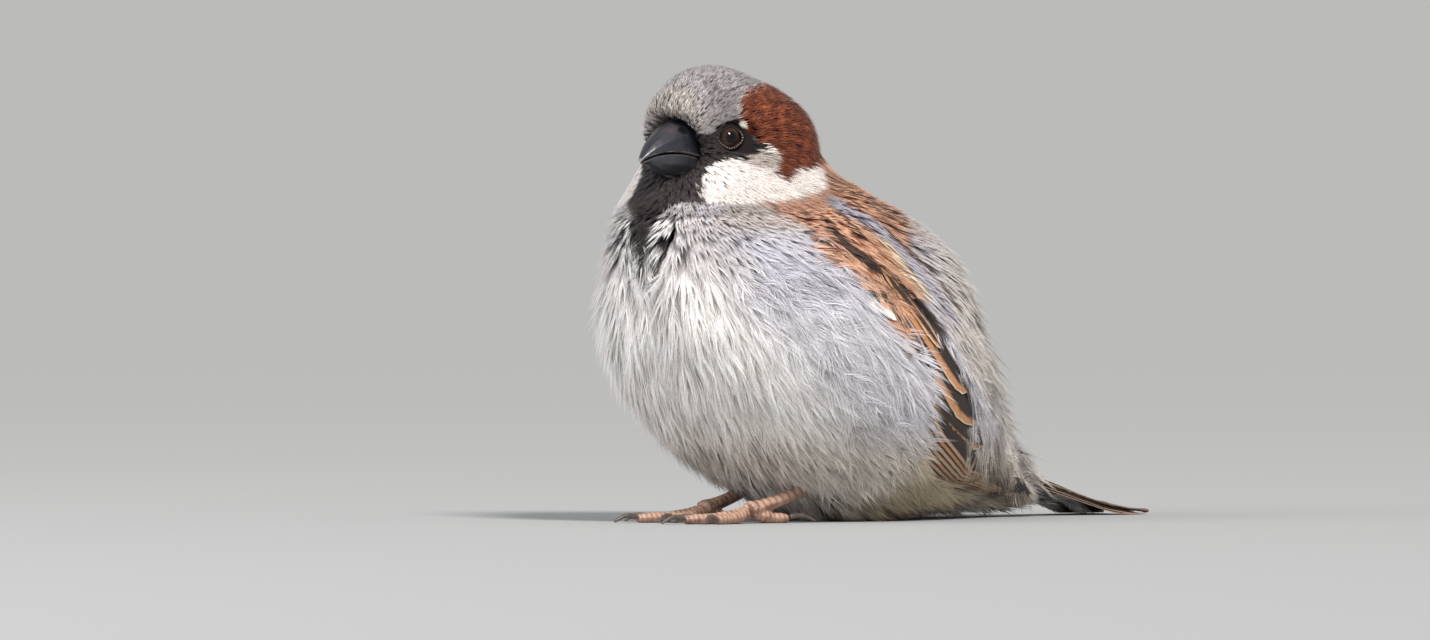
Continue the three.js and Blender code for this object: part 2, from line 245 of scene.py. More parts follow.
def grained(name, size, detail, texture="TexNoise", field="coat"):
    """A new material, its tree, its painted field, and a grain size mm across in Object coordinates."""
    m, tree = material(name)
    tone = add(tree, "Attribute", attribute_name=field) if field else None
    place = add(tree, "TexCoord")
    inputs = {"Vector": place.outputs["Object"], "Scale": 1 / (size * MM)}
    if detail:
        inputs["Detail"] = detail
    return m, tree, tone, add(tree, texture, inputs)


def flecked(tree, colour, grain, grain_span, bright_span):
    """A colour made darker and brighter by its grain, over a span of each."""
    shade = add(tree, "MapRange", {"Value": grain.outputs["Fac"],
                                             "From Min": grain_span[0], "From Max": grain_span[1],
                                             "To Min": bright_span[0], "To Max": bright_span[1]})
    mixed = add(tree, "Mix", {0: 1.0, 6: colour, 7: shade.outputs["Result"]},
                data_type="RGBA", blend_type="MULTIPLY")
    return mixed.outputs[2]


def rgba(code):
    return (*tint(code), 1.0)


deselect()
bpy.ops.mesh.primitive_plane_add(size=80, location=(0, 0, 0))
floor = bpy.context.object
floor.name = "floor"
paper, nodes = material("matt_card_pale")  # matt card: a plain pale ground with no gloss
finish_surface(nodes, {"Base Color": rgba("#afb1b2"), "Roughness": 0.95, "Specular IOR Level": 0.0})
floor.data.materials.append(paper)

world = bpy.data.worlds.new("studio")
scene.world = world
world.use_nodes = True
world.node_tree.nodes.clear()
sky = add(world.node_tree, "Background", {"Color": rgba("#eeeeec"), "Strength": 0.58})
add(world.node_tree, "OutputWorld", {"Surface": sky.outputs[0]})


def lamp(name, turn, rise, away, size, power, colour):
    """A soft light size metres wide that faces the bird. Turn is measured from the camera, to its right."""
    data = bpy.data.lights.new(name, "SUN" if away > SUN_FROM else "AREA")
    data.energy, data.color = power, tint(colour)
    if away > SUN_FROM:
        data.angle = size / away
    else:
        data.size = size
    o = bpy.data.objects.new(name, data)
    scene.collection.objects.link(o)
    way = outward(CAMERA_TURN + math.radians(turn), math.radians(rise))
    o.location = Vector(to_frame(LIT_POINT)) + way * away
    o.rotation_euler = way.to_track_quat("Z", "Y").to_euler()


lamp("key_light", 24, 42, 9, 2.0, 3.1, "#fffaf5")
lamp("fill_light", -52, 22, 1.3, 0.9, 9.5, "#fafaff")

# ---- making meshes
DOUBLES = 1e-6  # metres: corners this close are one corner


def mesh_piece(name, verts, quads, tris, colours, normals=None, uv=None):
    """One object from arrays. Faces index the verts, and every other array has one row for each vert."""
    mesh = bpy.data.meshes.new(name)
    quads = np.asarray(quads, np.int32).reshape(-1, 4)
    tris = np.asarray(tris, np.int32).reshape(-1, 3)
    corners = np.concatenate([quads.ravel(), tris.ravel()])
    sizes = np.concatenate([np.full(len(quads), 4), np.full(len(tris), 3)])
    starts = np.concatenate([[0], np.cumsum(sizes)[:-1]])
    mesh.vertices.add(len(verts))
    mesh.vertices.foreach_set("co", to_frame(verts).astype(np.float32).ravel())
    mesh.loops.add(len(corners))
    mesh.loops.foreach_set("vertex_index", corners)
    mesh.polygons.add(len(sizes))
    mesh.polygons.foreach_set("loop_start", starts.astype(np.int32))
    mesh.polygons.foreach_set("use_smooth", np.ones(len(sizes), bool))
    mesh.update(calc_edges=True)
    if uv is not None:
        mesh.uv_layers.new(name="OFBake").data.foreach_set("uv", uv[corners].astype(np.float32).ravel())
    if normals is not None:
        mesh.normals_split_custom_set_from_vertices(unit(normals).astype(np.float32))
    o = bpy.data.objects.new(name, mesh)
    scene.collection.objects.link(o)
    put_colours(o, colours)
    return o


def put_colours(o, colours, gloss=1.0):
    """Paints the coat field, with the gloss as its alpha."""
    full = np.ones((len(o.data.vertices), 4), np.float32)
    full[:, :3], full[:, 3] = colours, gloss
    o.data.color_attributes.new("coat", "FLOAT_COLOR", "POINT").data.foreach_set("color", full.ravel())


def face_outward(o, merge=0.0):
    """Turns every face outward, once corners closer than merge metres are run together."""
    take(o)
    bpy.ops.object.mode_set(mode="EDIT")
    bpy.ops.mesh.select_all(action="SELECT")
    if merge:
        bpy.ops.mesh.remove_doubles(threshold=merge)
    bpy.ops.mesh.normals_make_consistent(inside=False)
    bpy.ops.object.mode_set(mode="OBJECT")


def copy_nodes(name, node_names):
    """One object of copies of the frame's nodes, with their doubles merged."""
    copies = []
    for n in node_names:
        o = bpy.data.objects.new(name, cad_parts[n].data.copy())
        scene.collection.objects.link(o)
        copies.append(o)
    take(*copies)
    if len(copies) > 1:
        bpy.ops.object.join()
    o = bpy.context.object
    o.name = name
    o.data.materials.clear()
    face_outward(o, merge=DOUBLES)
    return o


def apply_modifier(o, kind, **settings):
    take(o)
    m = o.modifiers.new(kind.lower(), kind)
    for key, value in settings.items():
        setattr(m, key, value)
    bpy.ops.object.modifier_apply(modifier=m.name)


def remade(name, node_names, voxel, swell, rounds):
    """Nodes run together into one even mesh: swollen until they meet, remeshed, smoothed and drawn back."""
    o = copy_nodes(name, node_names)
    apply_modifier(o, "DISPLACE", strength=swell * MM, mid_level=0)
    apply_modifier(o, "REMESH", mode="VOXEL", voxel_size=voxel * MM, adaptivity=0, use_smooth_shade=True)
    apply_modifier(o, "SMOOTH", factor=0.5, iterations=rounds)
    apply_modifier(o, "DISPLACE", strength=-swell * MM, mid_level=0)
    return o


def read(o, field):
    """One vector for each vertex: its co or its normal."""
    values = np.zeros(len(o.data.vertices) * 3)
    o.data.vertices.foreach_get(field, values)
    return values.reshape(-1, 3)


def points_of(o):
    return from_frame(read(o, "co"))


def put_points(o, points):
    o.data.vertices.foreach_set("co", to_frame(points).astype(np.float32).ravel())
    o.data.update()


# ---- the outer surface of the coat
FLESH = ["head", "neck", "trunk", "rump", "tail", "wing_left_coverts", "wing_left_flight",
         "wing_right_coverts", "wing_right_flight"]
TOES = ("inner", "middle", "outer", "hind")
LEGS = [f"tarsus_{s}" for s in SIDES] + [f"toe_{s}_{t}" for s in SIDES for t in TOES]
BODY_VOXEL, LEG_VOXEL, BILL_VOXEL = 0.66, 0.22, 0.16  # mm
# mm: half the gap between the nodes of flesh is 0.15, so this much swelling runs them together
BODY_SWELL, LEG_SWELL, BILL_SWELL = 0.25, 0.05, 0.02

skin = remade("skin", FLESH, BODY_VOXEL, BODY_SWELL, rounds=14)
# the fluffed coat bridges the fold under the cheek, so the fold is filled up to its smoothed shape
FILL_ROUNDS, FOLD_HALF = 180, 7  # FOLD_HALF in mm
outer, outer_normals = points_of(skin), read(skin, "normal")
apply_modifier(skin, "SMOOTH", factor=0.5, iterations=FILL_ROUNDS)
side, forward, z = head_place(outer)
near_fold = smooth(FOLD_HALF - np.abs(above_crease(forward, z + 1.0)), 0, 3)
near_fold *= smooth(HEAD_REACH - np.hypot(side, forward), 0, 2)
fill = np.maximum(dot(points_of(skin) - outer, outer_normals), 0) * near_fold
put_points(skin, outer + outer_normals * fill[:, None])
outer, outer_normals = points_of(skin), read(skin, "normal")
skin.data.calc_loop_triangles()
outer_faces = np.zeros(len(skin.data.loop_triangles) * 3, np.int32)
skin.data.loop_triangles.foreach_get("vertices", outer_faces)
outer_faces = outer_faces.reshape(-1, 3)
face_normals = unit(outer_normals[outer_faces].sum(1))
coat_tree = bvhtree.BVHTree.FromPolygons(outer.tolist(), outer_faces.tolist())


def onto_coat(points):
    """The nearest places on the coat's outer surface, with its soft normals."""
    place, normal = np.empty((len(points), 3)), np.empty((len(points), 3))
    for i, p in enumerate(points.tolist()):
        hit, _, k, _ = coat_tree.find_nearest(p)
        place[i], normal[i] = hit, face_normals[k]
    return place, normal


# ---- where the markings lie
# Outlines are seen from the side of the head, as (forward, height) in mm.
CHESTNUT = [(5.3, 71.2), (5.6, 74.4), (4.4, 76.3), (0, 77.8), (-6, 79.0), (-12, 81), (-21, 77), (-20, 64),
            (-12, 63.0), (-7, 62.2), (-3.6, 62.3), (-0.6, 60.2), (2.6, 60.4), (0.9, 63.0), (-1.3, 64.8),
            (0.4, 66.9), (4.2, 68.6)]
MASK = [(15.8, 69.4), (13.6, 68.8), (10.4, 69.2), (8.9, 71.0), (5.4, 71.4), (4.1, 69.9), (3.1, 67.9),
        (0.9, 67.2), (0.7, 66.3), (3.4, 65.6), (6, 64.4), (8.3, 64.2), (12, 63.3), (18, 63.2), (18, 70.5)]
CROWN_HALF = ([-20, -13, -8, -5, 0, 3.5, 5.4], [1.2, 3.4, 5.4, 6.4, 7.2, 8.4, 9.6])  # half width, by forward
CHEEK_FRONT = ([53, 56.4, 59.8, 61.6, 63.4], [16.2, 15.2, 13.8, 12.9, 12.0])  # forward at each height
BIB_HALF = ([38, 42, 47, 52, 54.5, 56.5], [0.1, 0.9, 1.7, 2.6, 4.2, 7.6])  # half width at each height

# Each look of feather: its main colour, the colour by the shaft, the tip and the down at the root; then the
# shaft colour's share, where along the feather the tip starts, and the share of feathers dark all over
LOOKS = {
    "flank": ("#b8b5bc", "#6f6c75", "#d8d6dc", "#67646e", 0.90, 0.84, 0.0),
    "flank_blue": ("#a3a1ab", "#676570", "#c5c3cc", "#5e5c66", 0.85, 0.84, 0.0),
    "breast": ("#f8f4f0", "#d8d1cc", "#fffbf7", "#c0b7b1", 0.34, 0.86, 0.0),
    "upper_breast": ("#a39ea0", "#747072", "#c6c1c0", "#6a6667", 0.60, 0.86, 0.03),
    "belly": ("#eae3dc", "#b2a79d", "#fdf8f3", "#92867c", 0.45, 0.80, 0.0),
    # low_belly holds the lowest belly's browner tone and also painted shade under the body
    "low_belly": ("#afa399", "#7c7067", "#e4dbd2", "#5f554c", 0.50, 0.84, 0.0),
    "vent": ("#93846f", "#75675a", "#c2b196", "#574a3e", 0.40, 0.86, 0.0),
    "undertail": ("#82766c", "#5f554d", "#9d9083", "#4c443e", 0.50, 0.88, 0.0),
    "undertail_pale": ("#c4b9ae", "#94887d", "#d8cec3", "#655c54", 0.35, 0.88, 0.0),
    "neck_side": ("#9a908d", "#5d5553", "#bdb3af", "#58514f", 0.60, 0.86, 0.10),
    "mantle": ("#ab7356", "#83513a", "#cb9c80", "#5d4135", 0.30, 0.93, 0.0),
    "mantle_black": ("#2e2625", "#1f1a1a", "#54403a", "#241f1e", 0.40, 0.97, 0.0),
    "mantle_blue": ("#9c98a6", "#504d58", "#b9b4be", "#56535c", 0.35, 0.95, 0.25),
    "back": ("#8f8b92", "#56535a", "#bcb6b8", "#504d53", 0.60, 0.88, 0.14),
    "rump": ("#948f93", "#5f5b60", "#cfc8c3", "#575459", 0.60, 0.86, 0.20),
    "shoulder": ("#b07c66", "#7c4f3d", "#c79a83", "#5d463e", 0.45, 0.92, 0.0),
    "scapular": ("#b67a5c", "#8e583e", "#d3a68a", "#63412f", 0.30, 0.90, 0.06),
    "scapular_buff": ("#c7a47f", "#9c7853", "#e2cfb4", "#6b503a", 0.40, 0.86, 0.0),
    "cheek": ("#e9e1dc", "#dbd2cc", "#efe8e3", "#cec5bf", 0.12, 0.85, 0.0),
    "ear": ("#a39991", "#867c75", "#b9aea7", "#7d746d", 0.30, 0.85, 0.0),
    "crown": ("#827e7f", "#433f40", "#989394", "#514d4e", 0.30, 0.88, 0.24),
    "forehead": ("#8c8683", "#504a48", "#a9a19b", "#59534f", 0.30, 0.88, 0.18),
    "chestnut": ("#4c1d0e", "#2c1009", "#602f1f", "#33160c", 0.30, 0.92, 0.12),
    # chestnut_bright: lighter patches that are partly the patch's own mottling and partly painted highlight
    "chestnut_bright": ("#7c381e", "#572614", "#8e4d31", "#3d1a0f", 0.25, 0.92, 0.08),
    "nape": ("#8f6a58", "#5b4238", "#ab9384", "#4a3a35", 0.50, 0.90, 0.0),
    "mask": ("#2b2727", "#191717", "#35302f", "#1c1919", 0.50, 0.90, 0.0),
    "bib": ("#332d2e", "#262223", "#413a3b", "#231f20", 0.40, 0.90, 0.0),
    "scallop": ("#332e2f", "#1f1b1c", "#efecea", "#1c191a", 0.20, 0.84, 0.0),
    "spot": ("#efe6da", "#e4dacd", "#f4ece2", "#c8bdb0", 0.10, 0.90, 0.0),
}
TABLE = {k: np.concatenate([*[tint(c) for c in v[:4]], v[4:]]) for k, v in LOOKS.items()}

# Streaks of the mantle and scapulars: look, half width in mm, where each starts and ends along the spine, and
# its middle line as (along the spine in mm, across the wing's band)
STREAKS = [
    ("scapular", 1.5, (-5, 21), ([-5, 0, 6, 10, 15, 20], [-0.7, -0.64, -0.76, -0.80, -0.86, -0.92])),
    ("scapular_buff", 1.0, (9, 22), ([9, 13, 17, 22], [-1.14, -1.12, -1.04, -1.0])),
    ("mantle_blue", 1.5, (-3, 30),
     ([-2, 3, 10, 15, 19, 24, 30], [-1.26, -1.24, -1.40, -1.40, -1.34, -1.24, -1.15])),
    ("mantle_black", 0.34, (1, 7), ([1, 7], [-1.72, -1.55])),
    ("mantle_black", 0.45, (10, 17), ([10, 17], [-1.54, -1.52])),
    ("mantle_black", 0.62, (17, 31), ([17, 22, 27, 31], [-1.62, -1.64, -1.55, -1.60])),
    ("mantle_black", 0.32, (4, 10), ([4, 10], [-1.04, -1.12])),
    ("mantle_black", 0.26, (15, 23), ([15, 23], [-0.98, -0.90])),
    ("mantle_black", 0.26, (16, 22), ([16, 22], [-1.18, -1.06])),
    ("mantle_black", 1.3, (-3, 8), ([-3, 0, 6, 10], [-0.10, -0.05, -0.22, -0.34])),
    ("mantle_black", 1.15, (6, 28), ([6, 10, 15, 20, 28], [-0.24, -0.34, -0.46, -0.58, -0.60])),
    ("mantle_black", 0.45, (-2, 5), ([-2, 5], [-0.98, -0.62])),
    ("scapular", 0.85, (-3, 21), ([-3, 0, 5, 10, 14, 20], [0.66, 0.5, 0.14, 0.0, -0.06, -0.20])),
]


def looks_at(points):
    """The plumage's look at points, as rows of TABLE laid over each other from the flank up to the face.

    Each share is a product of soft edges. A soft edge is placed in mm by height z, along the body y, out from
    the middle x, or down the spine s; in degrees round from the back by turn; or across the wing's band by v.
    """
    side, forward, z = head_place(points)
    side = np.abs(side)
    s, turn, _ = spine_place(points)
    x, y = np.abs(points[:, 0]), points[:, 1]
    rows = np.tile(TABLE["flank"], (len(points), 1))

    def lay(name, *shares):
        rows[:] = blend(rows, TABLE[name], math.prod(shares))

    # flank, breast, belly and undertail
    bluish = smooth(1.3 + mottle(points, 11) + (118 - turn) / 12, 0, 1.6)
    lay("flank_blue", smooth(z, 30, 42), smooth(turn, 60, 84), bluish)
    lay("breast", smooth(turn, 126, 150), smooth(-y, -12, 6))
    high = smooth(z + 2.5 * mottle(points, 7), 37, 48)
    lay("upper_breast", 0.85, high, smooth(turn, 116, 134), smooth(x, 2, 6))
    lay("belly", smooth(turn, 138, 160), smooth(28 - z, -6, 10))
    # darker and browner towards the floor: partly the belly's own tone, partly painted shade under the body
    lay("low_belly", smooth(17 - z, 0, 9), smooth(y, -34, -14))
    lay("vent", smooth(s, 36, 48), smooth(turn, 118, 132))
    lay("undertail", smooth(y, 31, 38), smooth(turn, 100, 125))
    pale_sides = smooth(x, 1.6, 2.6) * smooth(-x, -6.4, -5)
    lay("undertail_pale", smooth(y, 30, 36), pale_sides, smooth(turn, 125, 140))
    lay("neck_side", smooth(z, 49, 53.5), smooth(x, 11.5, 15.5), smooth(turn, 70, 84))

    # back, mantle, shoulder and scapulars
    _, v = wing_place(points)
    _, band_half = band_at(s)
    wander = mottle(points * [1, 0.3, 0.3], 9)
    lay("back", smooth(-1.0 - v, 0, 0.4), smooth(s, 4, 14))
    lay("rump", smooth(-0.6 - v, 0, 0.3), smooth(s, 18, 36))
    upper = smooth(-0.95 - v, 0, 0.15) * smooth(20 - s + 0.10 * (70 - turn) + 2.5 * mottle(points, 4), 0, 6)
    lay("mantle", upper)
    bold = 0.5 * smooth(62 - turn, 0, 16)  # the streaks are boldest along the middle of the back
    lines = smooth(np.sin(np.radians(turn) * 58 + 2.6 * wander) + bold, 0.35, 0.7)
    lay("mantle_black", upper, lines, smooth(wander, -0.9, -0.3), smooth(-1.75 - v, 0, 0.1))
    shoulder = smooth(-0.2 - v, -0.9, -0.5) * smooth(v, -1.6, -1.2) * smooth(5 - s, 0, 6)
    lay("shoulder", shoulder)
    lay("mantle_black", shoulder, smooth(mottle(points, 3.2), 0.25, 0.45), smooth(v, -1.2, -0.8))
    on_band = smooth(v, -1.1, -0.95) * smooth(0.35 - v, 0, 0.1)
    lay("scapular", on_band, smooth(s, -4, 1), smooth(21 - s, 0, 2))
    for name, half, (start, end), line in STREAKS:
        away = np.abs(v - np.interp(s, *line)) * band_half + 0.18 * wander
        lay(name, smooth(half - away, -0.12, 0.25), smooth(s, start - 1.5, start + 1),
            smooth(end - s, -1, 1.5))

    # the head: cheek, ear coverts and the dark curl behind them, then crown, nape and chestnut
    head = smooth(above_crease(forward, z), -0.3, 0.4) * smooth(HEAD_REACH - np.hypot(side, forward), 0, 1)
    lay("cheek", head)
    lay("ear", head, smooth(1 - np.hypot((forward - 2.6) / 4.4, (z - 64.2) / 1.9), -0.15, 0.35))
    curl = smooth(0.6 - np.abs(np.hypot(forward - 1.6, z - 62.6) - 3.2), 0, 0.4)
    lay("mask", head, 0.6, curl, smooth(-forward, 0.6, 1.2), smooth(z, 61.6, 62.2))
    lay("mantle", head, smooth(-forward, 9.6, 11))
    lay("crown", head, smooth(z, 66.8, 68))
    lay("nape", head, 0.5, smooth(-forward, 11.5, 15), smooth(10 - side, 0, 7))
    ragged = (0.35 + 0.35 * smooth(z, 69, 72)) * mottle(points, 1.4)
    within = inside(forward, z, CHESTNUT)
    patch = head * smooth(within + ragged, -0.2, 0.2)
    lay("chestnut", patch)
    # the lighter chestnut patches are partly its own mottled tone and partly painted highlight
    lay("chestnut_bright", patch, 0.8, smooth(mottle(points[:, [1, 2, 0]], 1.8), -0.2, 0.5))
    border = smooth(1.7 - within, 0, 1.2) * smooth(z, 69, 71)
    lay("spot", patch, 0.55, border, smooth(mottle(points[:, [2, 0, 1]], 1.0), 0.05, 0.35))
    over = smooth(np.interp(forward, *CROWN_HALF) - side, -0.3, 0.4) * smooth(z, 71.3, 72.3)
    ahead = smooth(forward, 5.2, 5.7) * smooth(z, 68.6, 69.4)
    lay("crown", head, np.maximum(over, ahead))
    lay("forehead", head, smooth(forward, 11, 14.5), smooth(z, 68.6, 69.4))

    # the face: mask, the white spot behind the eye, and the bib with its scalloped sides
    off_middle = np.maximum(smooth(side, 1.2, 2.6), smooth(69.5 - z, 0, 0.8))
    lay("mask", head, smooth(inside(forward, z, MASK), -0.2, 0.2), off_middle)
    lay("spot", head, smooth(0.95 - np.hypot(forward - 4.5, (z - 70.6) * 1.2), 0, 0.25))
    past_cheek = smooth(forward - np.interp(z, *CHEEK_FRONT), -0.2, 0.3)
    lay("bib", past_cheek, smooth(z, 55.6, 56.4), smooth(63.8 - z, 0, 0.3))
    below = smooth(57.4 - z, 0, 1) * smooth(-y, 22, 26) * smooth(z, 38, 40)
    half = np.interp(z, *BIB_HALF)
    lay("scallop", below, smooth(half + 4.6 - x, -0.8, 1.4), smooth(z, 43, 45), smooth(54 - z, 0, 1.5))
    lay("bib", below, smooth(half - x, -0.4, 0.6))
    return rows


# ---- how deep the coat is, and how it lies
BODY_DEPTH, VENT_DEPTH, COVERT_DEPTH, TAIL_DEPTH, CROWN_DEPTH = 2.4, 2.3, 0.9, 0.35, 0.8  # mm


def coat_depth(points):
    """From the outer surface of the coat in to the skin, in mm."""
    side, forward, z = head_place(points)
    s, turn, _ = spine_place(points)
    y = points[:, 1]
    deep = BODY_DEPTH + 0.9 * smooth(turn, 130, 160) * smooth(-y, -14, 0) - 0.4 * smooth(100 - turn, 0, 20)
    deep += (VENT_DEPTH - deep) * smooth(s, 38, 50)
    deep += (COVERT_DEPTH - deep) * smooth(y, 36, 44)
    deep += (TAIL_DEPTH - deep) * smooth(y, 46, 54)
    near_head = smooth(23 - np.hypot(np.hypot(side, forward), (z - 68) * 1.1), 0, 5)
    on_top = CROWN_DEPTH - 0.3 * smooth(forward, 6, 13) + 0.5 * smooth(-forward, 4, 12)
    on_top = on_top - 0.25 * smooth(66 - z, 0, 3)
    on_top += 0.35 * smooth(62 - z, 0, 4)
    return deep + (on_top - deep) * near_head


BILL_BASE = on_head(0, 14.5, 66.5)  # the head's feathers point away from here
BAND_STEP = 0.04 * (WING_END - WING_START)  # mm: the band's bend is measured over this


def lie(points, normals):
    """Which way the feathers point: away from the bill on the head, down and back along the body."""
    _, forward, z = head_place(points)
    s, turn, out = spine_place(points)
    x, y = points[:, 0], points[:, 1]
    body = np.tile(SPINE_WAY, (len(points), 1))
    body[:, 2] -= 0.45 * smooth(turn, 105, 150) * smooth(-y, -24, 4)
    # the breast parts down its middle, and the feathers beside the wing sweep up over its edge
    near_furrow = smooth(9 - np.abs(x), 0, 7) * smooth(z, 38, 46) * smooth(-y, 20, 28)
    body[:, 0] -= 0.9 * np.sign(x) * near_furrow
    sweep = smooth(22 - np.abs(turn - 112), 0, 10) * smooth(s, 0, 10) * smooth(44 - s, 0, 12)
    body[:, 1:] += 0.10 * sweep[:, None]
    # near the wing they follow the bend of its band round the body
    _, v = wing_place(points)
    bend = np.radians(band_at(s + BAND_STEP / 2)[0] - band_at(s - BAND_STEP / 2)[0]) / BAND_STEP
    angle = np.radians(turn)
    around = np.cos(angle) * np.sign(x) * np.array([[1.0], [0], [0]]) - np.sin(angle) * BACK_WAY[:, None]
    body += (around * bend * out * smooth(v, -2.3, -1.5) * smooth(1.7 - v, 0, 0.9)).T
    body = blend(body, np.array([0, 1, -0.35]), smooth(y, 30, 40))
    head = unit(points - BILL_BASE)
    head[:, 2] -= 0.9 * smooth(-forward, 2, 11) + 0.25 * smooth(66 - z, 0, 6)
    for sign in SIDES.values():  # and they part round the eyes
        away = points - on_head(sign * 8.0, *EYE_SEEN)
        head += unit(away) * (0.7 * np.exp(-(np.linalg.norm(away, axis=1) / 3.2) ** 2))[:, None]
    share = smooth(above_crease(forward, z), -3.5, 1.0)[:, None]
    way = unit(body) * (1 - share) + unit(head) * share
    return unit(way - normals * dot(way, normals)[:, None])


# ---- growing feathers


def spread_roots(spacing, amount=9):
    """Roots over the whole coat, spacing(points) mm apart, in random order."""
    corners = outer[outer_faces]
    middle = corners.mean(1)
    area = np.linalg.norm(np.cross(corners[:, 1] - corners[:, 0], corners[:, 2] - corners[:, 0]), axis=1) / 2
    weight = area / spacing(middle) ** 2
    count = int(weight.sum() * amount)
    pick = rng.choice(len(weight), count, p=weight / weight.sum())
    a, b = rng.random((2, count))
    flip = a + b > 1
    a[flip], b[flip] = 1 - a[flip], 1 - b[flip]
    c = corners[pick]
    p = c[:, 0] + a[:, None] * (c[:, 1] - c[:, 0]) + b[:, None] * (c[:, 2] - c[:, 0])
    return p[thinned(p, spacing(p))]


def tree_of(points):
    tree = kdtree.KDTree(len(points))
    for i, q in enumerate(points.tolist()):
        tree.insert(q, i)
    tree.balance()
    return tree


def thinned(points, room):
    """Which points to keep, so that none has another within its room."""
    tree, free, kept = tree_of(points), np.ones(len(points), bool), []
    for i, p in enumerate(points.tolist()):
        if free[i]:
            kept.append(i)
            for _, j, _ in tree.find_range(p, room[i]):
                free[j] = False
    return kept


def lock_middles(roots, gap):
    """The middle of the lock that each root belongs to."""
    tree = tree_of(roots[thinned(roots, np.full(len(roots), gap))])
    return np.array([tree.find(p)[0] for p in roots.tolist()])


STATIONS = 5  # how many points a shaft has
LOWEST = 0.05  # mm: feathers bend where they meet the floor
STIFFNESS = 0.8  # how far a shaft keeps its own heading where the lie of the coat turns
FIRST_BARB, LAST_BARB = 0.24, 0.985  # where along the shaft the barbs stand
KNEE_AHEAD, KNEE_OUT = 0.40, 0.62  # where a barb bends, as shares of its reach ahead and out
SHAFT_RISE = 0.03  # mm above the barbs
TUFT_PATCH = [0.0015, 0.003]  # half width and length of one feather's patch on the bake map
# a barb's five points, as shares ahead and out: two at its root, two at its knee and its tip
BARB_POINTS = [(0, 0), (0, 0), (KNEE_AHEAD, KNEE_OUT), (KNEE_AHEAD, KNEE_OUT), (1, 1)]
BARB_LEANS = (0.1, 0.1, 0.6, 0.6, 1.0)  # how far each point's normal leans outward, as a share of the relief


